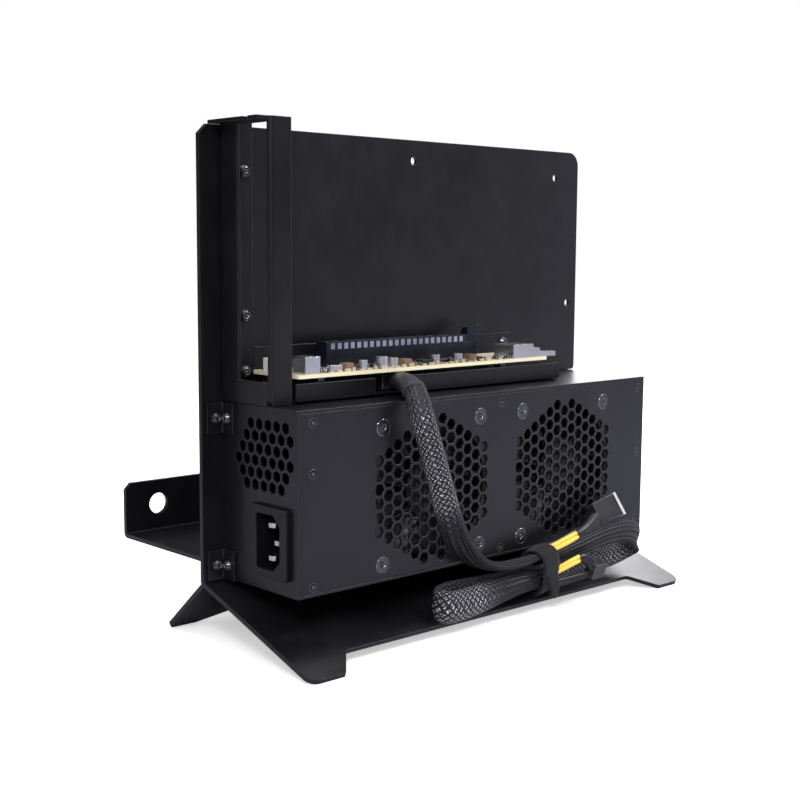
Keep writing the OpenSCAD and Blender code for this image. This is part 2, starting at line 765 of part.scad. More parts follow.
module inlet_pins() {
    color("#d8d4c8") for (m = [[0, pin_step / 2], [0, -pin_step / 2], [-earth_off, 0]])
        at_inlet(case_x - bezel_t + 1.5) translate([m.x, m.y, 0]) intersection() {
            translate([-pin_w / 2, -pin_t / 2, 0]) cube([pin_w, pin_t, recess_d + 8]);
            rotate([90, 0, 0]) translate([0, 0, -pin_t / 2]) linear_extrude(pin_t) polygon([
                [-pin_w / 2 + 0.8, 0], [pin_w / 2 - 0.8, 0], [pin_w / 2, 1.2], [pin_w / 2, recess_d + 8],
                [-pin_w / 2, recess_d + 8], [-pin_w / 2, 1.2]
            ]);
        }
}

// The supply's board stands on the case's floor behind the fans
sb_x = case_x + 36;
sb_l = case_l - 44;
sb_y0 = fan_back + 1.5;
sb_y1 = plate_y - case_wall - 1.5;
sb_z = case_z + case_wall + 5;
sb_k = sb_l / 184;
sb_mid = (sb_y0 + sb_y1) / 2;
sb_marks = [
    [sb_x + 5, sb_y0 + 4], [sb_x + 5, sb_y1 - 4], [sb_x + sb_l - 5, sb_y0 + 4], [sb_x + sb_l - 5, sb_y1 - 4]
];

module supply_board() {
    color("#3f4a2c") difference() {
        translate([sb_x, sb_y0, sb_z]) cube([sb_l, sb_y1 - sb_y0, board_t]);
        for (m = sb_marks)
            translate([m.x, m.y, sb_z - 1]) cylinder(h = board_t + 2, d = shank_d + 0.2, $fn = 24);
    }
}

module supply_standoffs() {
    color(steel) for (m = sb_marks) {
        translate([m.x, m.y, case_z + case_wall]) cylinder(h = sb_z - case_z - case_wall, d = 6, $fn = 6);
        translate([m.x, m.y, sb_z + board_t]) pan_screw(board_t);
    }
}

module supply_transformer() {
    w = 30 * sb_k;
    d = min(24 * sb_k, sb_y1 - sb_y0 - 2);
    core = 3 * sb_k;
    color("#c9a52c") translate([sb_x + 62 * sb_k, sb_mid - d / 2, sb_z + board_t]) {
        translate([0, 0, core]) cube([w, d, 22 * sb_k]);
        translate([core, core, 0]) cube([w - 2 * core, d - 2 * core, 28 * sb_k]);
    }
}

module supply_capacitors() {
    // Each can's place along the board, its diameter and its height
    cans = [[18, 20, 36], [42, 18, 32], [112, 12, 24], [126, 12, 24], [140, 10, 20]];
    color("#22242a") for (c = cans * sb_k)
        translate([sb_x + c[0], sb_mid, sb_z + board_t]) cylinder(h = c[2], d = c[1], $fn = 48);
}

module supply_heat_sinks() {
    w = 22 * sb_k;
    h = 46 * sb_k;
    fin_t = 1.4 * sb_k;
    fin_step = (w - fin_t) / 5;
    color("#9a9ca0") for (x = [54.5, 99] * sb_k)
        translate([sb_x + x, sb_mid - w / 2, sb_z + board_t]) {
            cube([2 * sb_k, w, h]);
            for (i = [0.5:4.5]) translate([0, i * fin_step, 8 * sb_k])
                cube([4.6 * sb_k, fin_t, h - 10 * sb_k]);
        }
}

module supply_coils() {
    color("#b3852f") for (p = [[156, 18, 12], [175, 14, 8]] * sb_k)
        translate([sb_x + p[0], sb_mid + p[2] / 2, sb_z + board_t + p[1] / 2]) to_front() difference() {
            cylinder(h = p[2], d = p[1], $fn = 48);
            translate([0, 0, -1]) cylinder(h = p[2] + 2, d = p[1] * 0.4, $fn = 32);
        }
}

module angle_brackets() {
    x1 = case_x;
    x0 = plate_x + 2;
    t = holder_t;
    color(black) for (z = bracket_z) difference() {
        translate([0, 0, z - bracket_h / 2]) sheet([
            [x1, plate_y - bracket_leg, 0],
            [x1, plate_y, 0],
            [x0, plate_y, 0],
            [x0, plate_y - t, 0],
            [x1 - t, plate_y - t, 0.5],
            [x1 - t, plate_y - bracket_leg, 0]
        ], bracket_h);
        translate([plate_x + bracket_plate_x, plate_y + 1, z]) to_front()
            cylinder(h = t + 2, d = shank_d + 0.2, $fn = 24);
        translate([x1 + 1, plate_y - bracket_end_y, z]) to_left()
            cylinder(h = t + 2, d = shank_d + 0.2, $fn = 24);
    }
}

module bracket_screws() {
    color(steel) for (z = bracket_z) {
        translate([plate_x + bracket_plate_x, plate_y - holder_t, z]) to_front()
            pan_screw(sheet_t + holder_t, 4.8);
        translate([case_x - holder_t, plate_y - bracket_end_y, z]) to_left()
            pan_screw(case_wall + holder_t, 4.8);
    }
}

module case_screws() {
    color(steel) for (m = case_screw_marks)
        translate([m.x, back_y, m.y]) to_back() pan_screw(sheet_t + case_wall + 1);
}

module card_bracket_holder() {
    t = holder_t;
    y0 = plate_y - holder_d;
    sill = holder_z + window_sill;
    color(black) difference() {
        union() {
            translate([0, 0, holder_z]) sheet([
                [wall_x, plate_y, t + fold_r],
                [wall_x, y0, t + fold_r],
                [wall_x + strip_w, y0, 0],
                [wall_x + strip_w, y0 + t, 0],
                [wall_x + t, y0 + t, fold_r],
                [wall_x + t, plate_y - t, fold_r],
                [wall_x + flange_w, plate_y - t, 0],
                [wall_x + flange_w, plate_y, 0]
            ], holder_h);
            translate([wall_x - rail_w, y0 + t, holder_top - t]) cube([rail_w + t / 2, holder_d - t, t]);
        }
        translate([wall_x - 1, y0 + t + fold_r, sill])
            cube([t + 1 + 0.001, holder_d - t - fold_r - window_back, holder_h - window_sill - t - 0.8]);
        translate([wall_x - 1, y0 - 1, holder_z - 1]) rotate([-90, 0, 0]) linear_extrude(t + fold_r + 2)
            polygon([[0, 0], [4, 0], [0, -5]]);
        for (m = holder_marks)
            translate([m.x, plate_y + 1, m.y]) to_front() cylinder(h = t + 2, d = shank_d + 0.2, $fn = 24);
        translate([wall_x - rail_w - 1, plate_y - 26.5 - rail_notch / 2, holder_top - t - 1])
            cube([3.4, rail_notch, t + 2]);
    }
}

module board_tray() {
    t = holder_t;
    y0 = plate_y - tray_d;
    x1 = tray_left + tray_l;
    color(black) difference() {
        translate([tray_left, 0, 0]) rotate([90, 0, 90]) sheet([
            [y0, shelf_z, t + fold_r],
            [plate_y, shelf_z, t + fold_r],
            [plate_y, shelf_z + tray_back_h, 0],
            [plate_y - t, shelf_z + tray_back_h, 0],
            [plate_y - t, shelf_z + t, fold_r],
            [y0 + t, shelf_z + t, fold_r],
            [y0 + t, shelf_z + tray_front_h, 0],
            [y0, shelf_z + tray_front_h, 0]
        ], tray_l);
        translate([tray_left + lead_gap_x - lead_gap_w / 2, y0 - 1, shelf_z + t])
            cube([lead_gap_w, t + 5, tray_front_h]);
        translate([tray_left - 1, plate_y - t - 2, shelf_z - 1])
            cube([plate_x + holder_x + flange_w + 1.5 - tray_left, t + 4, tray_back_h + 2]);
        for (m = tray_marks)
            translate([m.x, plate_y + 1, m.y]) to_front() cylinder(h = t + 2, d = shank_d + 0.2, $fn = 24);
        for (m = board_marks)
            translate([m.x, m.y, shelf_z - 1]) cylinder(h = t + 2, d = shank_d + 0.2, $fn = 24);
    }
}

module riser_board() {
    color("#efe9d2") difference() {
        translate([0, 0, board_z])
            sheet(rect(board_x, board_y - board_w, board_x + board_l, board_y, 1.5), board_t);
        for (m = board_marks)
            translate([m.x, m.y, board_z - 1]) cylinder(h = board_t + 2, d = shank_d + 0.2, $fn = 24);
    }
}

module board_standoffs() {
    color(steel) for (m = board_marks)
        translate([m.x, m.y, shelf_z + holder_t]) difference() {
            cylinder(h = standoff_h, d = 5.6, $fn = 6);
            translate([0, 0, -1]) cylinder(h = standoff_h + 2, d = shank_d + 0.1, $fn = 24);
        }
}

module board_screws() {
    color(steel) for (m = board_marks)
        translate([m.x, m.y, board_top]) pan_screw(board_t + 4, 5.2);
}

// Places children at each contact window of the slot, for a box of length l, with y out of its side
module at_windows(l) {
    step = slot_l / (window_n + 1);
    for (i = [0.5:window_n], s = [-1, 1])
        translate([slot_left + i * step + (step - l) / 2, slot_mid + s * slot_w / 2, slot_top])
            mirror([0, (1 - s) / 2, 0]) children();
}

module slot_body() {
    lw = latch_w;
    ear_x = slot_left + slot_l;
    color("#1d2233") difference() {
        union() {
            translate([slot_left, slot_mid - slot_w / 2, board_top]) cube([slot_l, slot_w, slot_h]);
            for (s = [-1, 1])
                translate([ear_x, slot_mid + s * (lw / 2 + 0.3) + (s < 0 ? -1.3 : 0), board_top])
                    cube([7, 1.3, 8]);
            translate([ear_x, slot_mid - slot_w / 2 + 0.3, board_top]) cube([7, slot_w - 0.6, 1.2]);
        }
        translate([slot_left + 2, slot_mid - groove_w / 2, slot_top - groove_d])
            cube([key_x - 3, groove_w, groove_d + 1]);
        translate([slot_left + key_x + 1, slot_mid - groove_w / 2, slot_top - groove_d])
            cube([slot_l - key_x + 1, groove_w, groove_d + 1]);
        at_windows(2.6) translate([0, -0.5, -3.4]) cube([2.6, 1, 2.9]);
        translate([latch_x, slot_mid + slot_w, latch_z]) to_front()
            cylinder(h = 2 * slot_w, r = latch_pin_d / 2 + shaft_gap, $fn = 32);
    }
}

module slot_contacts() {
    color("#aab0bd") at_windows(2.4) translate([0, -0.5, -3.3]) cube([2.4, 0.36, 2.7]);
}

module slot_latch() {
    color("#15171c") {
        translate([latch_x, slot_mid + latch_w / 2, latch_z]) to_front() difference() {
            union() {
                linear_extrude(latch_w) polygon(rounded([
                    [-2, -2.6, 1], [2.4, -2.6, 1], [3, 6.5, 2],
                    [7.5, 8.8, 0.6], [6.6, 11, 0.6], [-2, 9.4, 0.8]
                ]));
                translate([0, 0, -1.4]) cylinder(h = latch_w + 2.8, d = latch_pin_d, $fn = 32);
            }
            translate([-4, 7.4, latch_w / 2 - 1]) cube([3.2, 3, 2]);
        }
    }
}

// Places children on the riser board, x along it and y from its front edge
module on_board(x, y) {
    translate([board_x + x * board_k, board_front + y, board_top]) children();
}

module host_port_shell() {
    l = 8;
    w = 9;
    h = 7.4;
    wall = 1;
    color("#c9cbd0") on_board(4, 0.8) difference() {
        cube([l, w, h]);
        translate([-wall, wall, wall]) cube([l, w - 2 * wall, h - 2 * wall]);
    }
}

module data_port_shell() {
    w = 13;
    color("#d4d6da") on_board(133, 0.8) difference() {
        rotate([90, 0, 0]) translate([0, 0, -w]) linear_extrude(w) polygon(rounded([
            [0, 0, 0], [31, 0, 0], [31, 2.4, 0.6], [19.4, 2.8, 0.2], [19, 4.6, 0.8], [14.6, 5, 0.3],
            [14.2, 6.8, 0.5], [0, 6.8, 0.5]
        ]));
        translate([19.6, 1.2, 0.6]) cube([12, w - 2.4, 1.4]);
    }
}

module board_header() {
    side = 5.8;
    wall = 1.2;
    color("#f1efe6") on_board(0.4, board_w - 13.4) difference() {
        cube([side, side, side]);
        translate([wall, wall, wall + 0.4]) cube([side - 2 * wall, side - 2 * wall, side]);
    }
}

module board_chips() {
    // Each chip's place from the board's left front corner, and its size
    chips = [[[34, 8], [7, 7, 1.2]], [[73.5, 2.2], [5.5, 5, 2.4]], [[87.2, 7.4], [8, 7, 1.1]],
        [[116, 8], [5, 5, 1.1]]];
    color("#1b1c1e") for (c = chips)
        on_board(c[0].x, c[0].y) cube(c[1]);
}

module board_crystal() {
    color("#d0d2d6") on_board(19, 2) sheet(rect(0, 0, 7.5, 4, 1.6), 3);
}

module board_coils() {
    side = 4.9;
    color("#8a6a4c") for (x = [27.4, 62, 104])
        on_board(x, 2) sheet(rect(0, 0, side, side, 0.8), 3.4);
}

module board_capacitors() {
    // Each can's place along the board, its diameter and its height, on a square base
    cans = [[39, 4, 4.2], [50, 5.4, 5.2], [56.8, 4.6, 4.4], [83, 4.6, 4.4], [98, 4.6, 4.2]];
    color("#c4c6ca") for (c = cans)
        on_board(c[0], 4.2) {
            translate([-c[1] / 2, -c[1] / 2, 0]) cube([c[1], c[1], 0.8]);
            cylinder(h = c[2], d = c[1], $fn = 32);
        }
}

module board_small_parts() {
    color("#d9d2bd") for (i = [0:25])
        let (x = 17.6 + i * 4.2, w = 1.4 + 0.8 * (i % 3), h = 0.6 + 0.35 * ((i * 5) % 4))
        on_board(x, 0.5) cube([w, 0.9, h]);
}

module holder_screws() {
    color(steel) for (m = concat(holder_marks, tray_marks))
        translate([m.x, plate_y - holder_t, m.y]) to_front() pan_screw(sheet_t + holder_t);
}

module lead_header() {
    h = standoff_h - 0.5;
    color("#141518") translate([boot_start.x - 8, boot_start.y, board_z - h]) difference() {
        cube([16, 12, h]);
        for (i = [0:3]) translate([1.2 + i * 3.6, 9, 1.4]) cube([2.8, 4, h - 2.8]);
    }
}

// The boot runs straight and level from the header through the tray's gap
module lead_boot() {
    run = lead_points[0] - boot_start;
    color("#2c2d30") translate(boot_start) rotate([0, 90, atan2(run.y, run.x)])
        cylinder(h = norm(run), d = boot_d, $fn = 32);
}

// Tangent of the lead's route at point i
function lead_dir(i) =
    let (n = len(lead_points), a = lead_points[max(i - 1, 0)], b = lead_points[min(i + 1, n - 1)])
    unit(b - a);

// Rings of eight points round the route, each square to it
function lead_ring(i) =
    let (d = lead_dir(i), u = unit(cross(d, [0, 0.3, 1])), v = cross(d, u))
    [for (k = [0:7]) lead_points[i] + lead_d / 2 * (u * cos(k * 45) + v * sin(k * 45))];

module power_lead() {
    n = len(lead_points);
    points = [for (i = [0:n - 1]) each lead_ring(i)];
    sides = [for (i = [0:n - 2], k = [0:7])
        each [
            [i * 8 + k, i * 8 + (k + 1) % 8, (i + 1) * 8 + (k + 1) % 8],
            [i * 8 + k, (i + 1) * 8 + (k + 1) % 8, (i + 1) * 8 + k]
        ]];
    first = [for (k = [7:-1:0]) k];
    last = [for (k = [0:7]) (n - 1) * 8 + k];
    color("#26272b") polyhedron(points, concat([first], sides, [last]));
}

// The hank's outline, seen from the front: flat under its strap and highest to the right of it
module power_lead_hank() {
    r = 9;
    color("#26272b") on_slope(hank_x, hank_s - hank_w / 2, hank_seat) to_front() sheet([
        [0, 0, r * 0.8],
        [hank_l, 0, r],
        [hank_l, hank_h + 1, r],
        [strap_u + strap_w + 36, hank_h + 3, r],
        [strap_u + strap_w + 1.5, hank_h, r / 2],
        [strap_u - 20, hank_h, r],
        [0, hank_h - 5, r * 0.8]
    ], hank_w);
}

module lead_strap() {
    g = 0.05;
    inner = hank_w / 2 + g;
    outer = inner + strap_t;
    color("#101113") on_slope(strap_x, hank_s, hank_seat) rotate([90, 0, 90]) difference() {
        sheet(rect(-outer, -g - strap_t, outer, hank_h + g + strap_t, strap_t), strap_w);
        translate([0, 0, -1]) sheet(rect(-inner, -g, inner, hank_h + g), strap_w + 2);
    }
}

// A round wire from a to b
module wire(a, b) {
    d = b - a;
    translate(a) rotate([0, acos(d.z / norm(d)), atan2(d.y, d.x)])
        cylinder(h = norm(d), d = wire_d, $fn = 24);
}

// A point on the foot plate's slope, in the frame of the whole dock
function slope_point(x, s, h) = [
    x,
    plate_y - s * cos(front_slope) - h * sin(front_slope),
    bend_z - s * sin(front_slope) + h * cos(front_slope)
];

// Three wires rise from the strap to the six-pin plug, and two run in front of the hank to the other
module plug_wires() {
    x = strap_x + strap_w + 0.3;
    h = hank_seat + hank_h + wire_d / 2 + 0.25;
    color("#e9c235") {
        for (i = [-1:1])
            wire(
                slope_point(x, hank_s + i * (wire_d + 0.2), h),
                six_place + [0.7, 5.6 - i * (wire_d + 0.2), 3.5]
            );
        for (i = [0:1])
            on_slope(x, hank_s + hank_w / 2 + wire_d / 2 + 0.2, two_h + 2.4 + i * (wire_d + 0.4))
                rotate([0, 90, 0]) cylinder(h = two_x - x + 0.6, d = wire_d, $fn = 24);
    }
}

// The six-pin plug leans back over the hank, its open end to the right
module lead_plug_six() {
    cell = 3.2;
    wall = (six_size.z - 3 * cell) / 4;
    color("#17181b") translate(six_place) rotate(six_turn) difference() {
        cube(six_size);
        for (i = [0:2])
            translate([six_size.x - 9, (six_size.y - cell) / 2, wall + i * (cell + wall)])
                cube([10, cell, cell]);
    }
}

module lead_plug_two() {
    cell = 3;
    wall = (two_size.z - 2 * cell) / 3;
    color("#17181b") on_slope(two_x, two_s, two_h) difference() {
        cube(two_size);
        for (j = [0:1])
            translate([two_size.x - 6, (two_size.y - cell) / 2, wall + j * (cell + wall)])
                cube([7, cell, cell]);
    }
}

stand_plate();
rear_support();
rear_screws();
supply_case();
supply_cover();
fan_1_frame();
fan_1_rotor();
fan_2_frame();
fan_2_rotor();
fan_screws();
cover_screws();
inlet_body();
inlet_pins();
supply_board();
supply_standoffs();
supply_transformer();
supply_capacitors();
supply_heat_sinks();
supply_coils();
angle_brackets();
bracket_screws();
case_screws();
card_bracket_holder();
board_tray();
riser_board();
board_standoffs();
board_screws();
slot_body();
slot_contacts();
slot_latch();
host_port_shell();
data_port_shell();
board_header();
board_chips();
board_crystal();
board_coils();
board_capacitors();
board_small_parts();
holder_screws();
lead_header();
lead_boot();
power_lead();
power_lead_hank();
lead_strap();
plug_wires();
lead_plug_six();
lead_plug_two();
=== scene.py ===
# %% [markdown]
# # An open dock for one graphics card
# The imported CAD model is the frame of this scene: sheet metal, fans, boards and screws stand where
# they stand in the real dock. This script dresses them. It adds the soft lead with its strap and
# wires, the drive recesses of the screws and the small parts of the riser board, and it gives
# every piece a finish worked out by nodes.

import bpy
import numpy as np
from mathutils import Euler, Matrix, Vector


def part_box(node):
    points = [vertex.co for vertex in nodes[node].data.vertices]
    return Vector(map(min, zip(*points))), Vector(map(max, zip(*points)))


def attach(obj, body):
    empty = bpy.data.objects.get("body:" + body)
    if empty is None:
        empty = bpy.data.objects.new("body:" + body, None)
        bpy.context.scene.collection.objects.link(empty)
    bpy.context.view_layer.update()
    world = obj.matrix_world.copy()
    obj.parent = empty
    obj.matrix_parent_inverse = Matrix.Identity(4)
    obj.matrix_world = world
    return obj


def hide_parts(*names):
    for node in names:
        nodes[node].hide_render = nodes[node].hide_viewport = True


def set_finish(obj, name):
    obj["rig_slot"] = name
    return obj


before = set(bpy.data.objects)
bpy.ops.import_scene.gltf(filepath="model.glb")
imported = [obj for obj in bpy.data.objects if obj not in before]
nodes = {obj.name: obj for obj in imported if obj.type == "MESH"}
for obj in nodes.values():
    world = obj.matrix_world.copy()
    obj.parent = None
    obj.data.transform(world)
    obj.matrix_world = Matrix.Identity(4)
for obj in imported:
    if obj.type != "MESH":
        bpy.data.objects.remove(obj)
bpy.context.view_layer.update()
scene = bpy.context.scene
MM = 0.001

# %% [markdown]
# ## The camera
# The photograph was taken from a little above, off the left front corner. The camera's axes are
# written down as they were worked out from the box's edges, so no aim has to be found again.

# %% Make the camera
lens_data = bpy.data.cameras.new("camera")
lens_data.lens = 59.15
lens_data.sensor_width = 36
lens_data.clip_start = 0.01
lens_data.clip_end = 50
camera = bpy.data.objects.new("camera", lens_data)
scene.collection.objects.link(camera)
camera_right = (0.73643, -0.67649, 0.00637)
camera_up = (0.07398, 0.08989, 0.99321)
camera_back = (-0.67246, -0.73095, 0.11625)
camera_place = (-0.4369, -0.46365, 0.1729)
turn = Matrix([camera_right, camera_up, camera_back]).transposed()
camera.matrix_world = Matrix.Translation(camera_place) @ turn.to_4x4()
scene.camera = camera
print("camera lens", lens_data.lens, "mm")

# %% [markdown]
# ## Surfaces from arrays
# A new piece is a grid of points worked out with whole arrays: rows run along a path and columns
# run round it. One helper makes quads of such a grid and another turns arrays into an object that
# rides on the dock. No loop ever walks over the points one by one.

# %% Mesh helpers
def unit(v):
    """v divided by its length, row by row."""
    return v / np.linalg.norm(v, axis=-1, keepdims=True)


def grid_faces(rows, columns):
    """Quads of a tube: corner (i, j) is vertex i * columns + j, and the last column joins the
    first."""
    i, j = np.meshgrid(np.arange(rows - 1), np.arange(columns), indexing="ij")
    k = (j + 1) % columns
    low, high = i * columns, (i + 1) * columns
    return np.stack([low + j, low + k, high + k, high + j], -1).reshape(-1, 4)


def piece(name, points, faces, slot, replaced=(), smooth=True):
    """An object from arrays of points in metres and of faces, riding on the dock."""
    mesh = bpy.data.meshes.new(name)
    mesh.from_pydata(points.reshape(-1, 3).tolist(), [], faces.tolist())
    mesh.polygons.foreach_set("use_smooth", np.full(len(mesh.polygons), smooth))
    mesh.update()
    made = bpy.data.objects.new(name, mesh)
    scene.collection.objects.link(made)
    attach(made, "dock")
    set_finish(made, slot)
    if replaced:
        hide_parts(*replaced)
    return made


print("a tube with 3 rings of 4 points has", len(grid_faces(3, 4)), "faces")


# %% Curves along a path
CURVE_STEPS = 16


def through(points, steps):
    """A smooth curve through the points: between b and c, with neighbours a and d, it runs on a
    cubic that leaves b along c - a and reaches c along d - b."""
    p = np.concatenate([[2 * points[0] - points[1]], points, [2 * points[-1] - points[-2]]])
    t = np.linspace(0, 1, steps, endpoint=False)[None, :, None]
    a, b, c, d = (p[k:len(p) - 3 + k, None] for k in range(4))
    cubic = (3 * b - a - 3 * c + d) * t ** 3 + (2 * a - 5 * b + 4 * c - d) * t ** 2 + (c - a) * t
    return np.concatenate([(b + cubic / 2).reshape(-1, points.shape[-1]), points[-1:]])


def evenly(line, spacing):
    """The line again with points an equal arc length apart, and each one's place along it."""
    run = np.concatenate([[0], np.cumsum(np.linalg.norm(np.diff(line[:, :3], axis=0), axis=1))])
    place = np.linspace(0, run[-1], int(run[-1] / spacing) + 1)
    return np.stack([np.interp(place, run, c) for c in line.T], -1), place


print("a curve through 3 points has", len(through(np.eye(3), CURVE_STEPS)), "points")


# %% Rings of a flattened tube
WIRE_RIDGES = 6
TWIST = 0.02


def squared(wave, power):
    """The wave's size raised to a power, with its sign kept. Under 1 it squares off a circle."""
    return np.sign(wave) * np.abs(wave) ** power


def ribbon(line, sides, ridge, along, power):
    """Rings of a flattened tube. Each row of line holds a centre, the direction across, and half
    the width and thickness. The point at angle a lies width * |cos a|^power across and
    thickness * |sin a|^power off it, lifted by soft ridges, which are the wires inside."""
    centre, across = line[:, :3], line[:, 3:6]
    ahead = unit(np.gradient(centre, axis=0))
    across = unit(across - (across * ahead).sum(-1, keepdims=True) * ahead)
    off = np.cross(ahead, across)
    a = np.linspace(0, 2 * np.pi, sides, endpoint=False)[None]
    twist = TWIST * along[:, None]
    lift = 1 + ridge * np.cos(WIRE_RIDGES * a + twist) * np.abs(np.sin(a))
    x = squared(np.cos(a), power) * line[:, 6:7]
    y = squared(np.sin(a), power) * line[:, 7:8] * lift
    return (centre[:, None] + x[..., None] * across[:, None] + y[..., None] * off[:, None]) * MM


def capped(rings):
    """The rings with their middles added before the first and after the last, which closes both
    ends."""
    ends = [np.repeat(r.mean(1, keepdims=True), rings.shape[1], 1) for r in (rings[:1], rings[-1:])]
    return np.concatenate([ends[0], rings, ends[1]])


print("a wave of 0.5 squares off to", round(float(squared(0.5, 0.45)), 2))


# %% Tubes from rings
def tube(name, keys, sides, slot, spacing=1.0, ridge=0.0, replaced=(), power=0.8):
    """A closed ribbon through rows of x, y, z, the direction across and two half sizes, with a UV
    map: U runs once round, V is the distance along in metres. Where U passes from 1 back to 0, the
    corners on the 0 side get 1 added. Returns the piece, its line and each row's place along it."""
    line, along = evenly(through(np.array(keys, float), CURVE_STEPS), spacing)
    rings = capped(ribbon(line, sides, ridge, along, power))
    made = piece(name, rings, grid_faces(len(rings), sides)[:, ::-1], slot, replaced)
    u = np.tile(np.arange(sides) / sides, len(rings))
    v = np.repeat(np.concatenate([[0], along, along[-1:]]) * MM, sides)
    corner = np.empty(len(made.data.loops), int)
    made.data.loops.foreach_get("vertex_index", corner)
    uv = np.stack([u[corner], v[corner]], -1).reshape(-1, 4, 2)
    seam = uv[..., 0].max(1, keepdims=True) - uv[..., 0] > 0.5
    uv[..., 0] += seam
    made.data.uv_layers.new(name="UVMap").data.foreach_set("uv", uv.ravel())
    return made, line, along


# %% [markdown]
# ## The power lead
# The lead is a braided sleeve over a flat bundle of wires. It leaves the riser board through a gap
# in its tray, hangs over the front of the supply box and is folded into a tied hank on the foot
# plate. A curve with a round bevel would make a hose of it, so it is swept here as a flattened
# ring that turns along the way, so that its width points where the real bundle lies flat.

# %% The route of the lead
# Each row is x, y, z in millimetres, the direction across, half the width and half the thickness.
lead_keys = np.array([
    [-36.5, -25.5, 112.8, 0.9, 0.43, 0, 3.6, 3.4],
    [-40.5, -33.5, 112.8, 0.9, 0.43, 0, 3.7, 3.4],
    [-45.0, -42.5, 112.6, 0.88, -0.48, 0, 4.0, 3.5],
    [-48.6, -50.4, 111.2, 0.86, -0.5, 0, 4.7, 3.6],
    [-51.2, -55.6, 107.6, 0.86, -0.5, 0, 5.2, 3.5],
    [-52.2, -58.8, 102.3, 0.86, -0.5, 0, 5.4, 3.4],
    [-51.2, -60.2, 96.3, 0.86, -0.5, 0, 5.4, 3.3],
    [-48.8, -60.4, 89.8, 0.86, -0.5, 0, 5.4, 3.2],
    [-46.2, -60.2, 83.2, 0.86, -0.5, 0, 5.4, 3.2],
    [-43.6, -60.0, 76.6, 0.86, -0.5, 0, 5.4, 3.2],
    [-40.9, -59.8, 69.6, 0.85, -0.52, 0, 5.5, 3.2],
    [-38.2, -59.5, 62.6, 0.82, -0.57, 0, 5.7, 3.2],
    [-35.4, -59.3, 55.4, 0.78, -0.62, 0.05, 5.9, 3.2],
    [-32.4, -59.2, 48.3, 0.72, -0.7, 0.05, 6.1, 3.1],
    [-28.2, -59.2, 41.4, 0.55, -0.8, 0.1, 6.2, 2.9],
    [-22.2, -59.3, 35.2, 0.3, -0.9, 0.15, 6.1, 2.6],
    [-14.4, -59.5, 30.2, 0.1, -0.98, 0.15, 5.9, 2.3],
    [-5.0, -59.5, 27.4, 0, -0.99, 0.1, 5.7, 2.1],
    [6.0, -59.2, 26.3, 0, -0.99, 0.1, 5.5, 2.0],
    [17.0, -58.8, 26.5, 0, -0.97, 0.2, 5.2, 2.0],
    [29.0, -58.8, 27.0, 0, -0.8, 0.6, 4.6, 2.1],
    [41.0, -60.2, 27.6, 0, -0.4, 0.9, 4.5, 2.2],
    [54.0, -61.6, 29.2, 0, -0.15, 0.97, 4.9, 2.2],
    [67.0, -62.4, 31.4, 0.05, -0.1, 0.97, 5.4, 2.2],
    [80.0, -62.4, 32.0, 0.1, -0.1, 0.97, 5.6, 2.2],
    [91.0, -61.4, 30.4, 0.15, -0.1, 0.97, 5.8, 2.2],
    [98.6, -59.2, 27.0, 0.2, -0.1, 0.95, 6.0, 2.1],
    [101.4, -56.2, 23.2, 0.15, -0.1, 0.95, 6.2, 2.1],
    [98.8, -53.4, 20.0, 0.05, 0, 0.97, 6.3, 2.1],
    [92.0, -52.2, 17.8, 0, 0, 0.98, 6.3, 2.1],
    [80.0, -51.8, 16.4, 0, 0, 1, 6.1, 2.2],
    [64.0, -51.8, 15.6, 0, 0, 1, 5.8, 2.2],
    [46.0, -51.8, 15.2, 0, 0, 1, 5.4, 2.3],
    [29.0, -51.9, 15.2, 0, 0, 1, 5.2, 2.3],
    [12.0, -51.9, 15.4, 0, 0, 1, 5.6, 2.3],
    [-6.0, -51.9, 15.6, 0, 0, 1, 6.2, 2.2],
    [-22.0, -52.0, 16.0, 0, -0.1, 1, 6.7, 2.1],
    [-28.5, -51.9, 15.9, 0, -0.1, 1, 6.9, 2.1],
    [-33.5, -52.2, 15.5, 0, -0.1, 1, 7.0, 2.0],
    [-36.4, -53.4, 15.0, 0, -0.05, 1, 7.2, 2.0],
    [-37.5, -56.0, 14.3, 0, 0, 1, 7.4, 2.0],
    [-36.4, -58.6, 13.7, 0, 0, 1, 7.5, 2.0],
    [-33.5, -59.8, 13.4, 0, 0, 1, 7.5, 2.0],
    [-28.5, -60.0, 13.4, 0, 0, 1, 7.5, 2.0],
    [-22.0, -60.0, 13.7, 0, 0, 1, 7.3, 2.1],
    [-12.0, -60.0, 14.6, 0, 0, 1, 7.0, 2.2],
    [0.0, -59.9, 16.0, 0, 0, 1, 6.3, 2.3],
    [12.0, -59.6, 16.7, 0, 0, 1, 5.5, 2.4],
    [24.0, -59.4, 16.9, 0, 0, 1, 4.8, 2.5],
    [35.0, -59.6, 17.6, 0, 0, 1, 4.4, 2.6]])
print("route of", len(lead_keys), "points")

# %% Sweep the sleeve
SLEEVE_SIDES = 72
sleeve, lead_line, lead_along = tube("sleeve", lead_keys, SLEEVE_SIDES, "braid", spacing=0.8,
                                     ridge=0.09, replaced=["power_lead", "power_lead_hank"])
print("sleeve:", round(lead_along[-1]), "mm long,", len(sleeve.data.polygons), "faces")
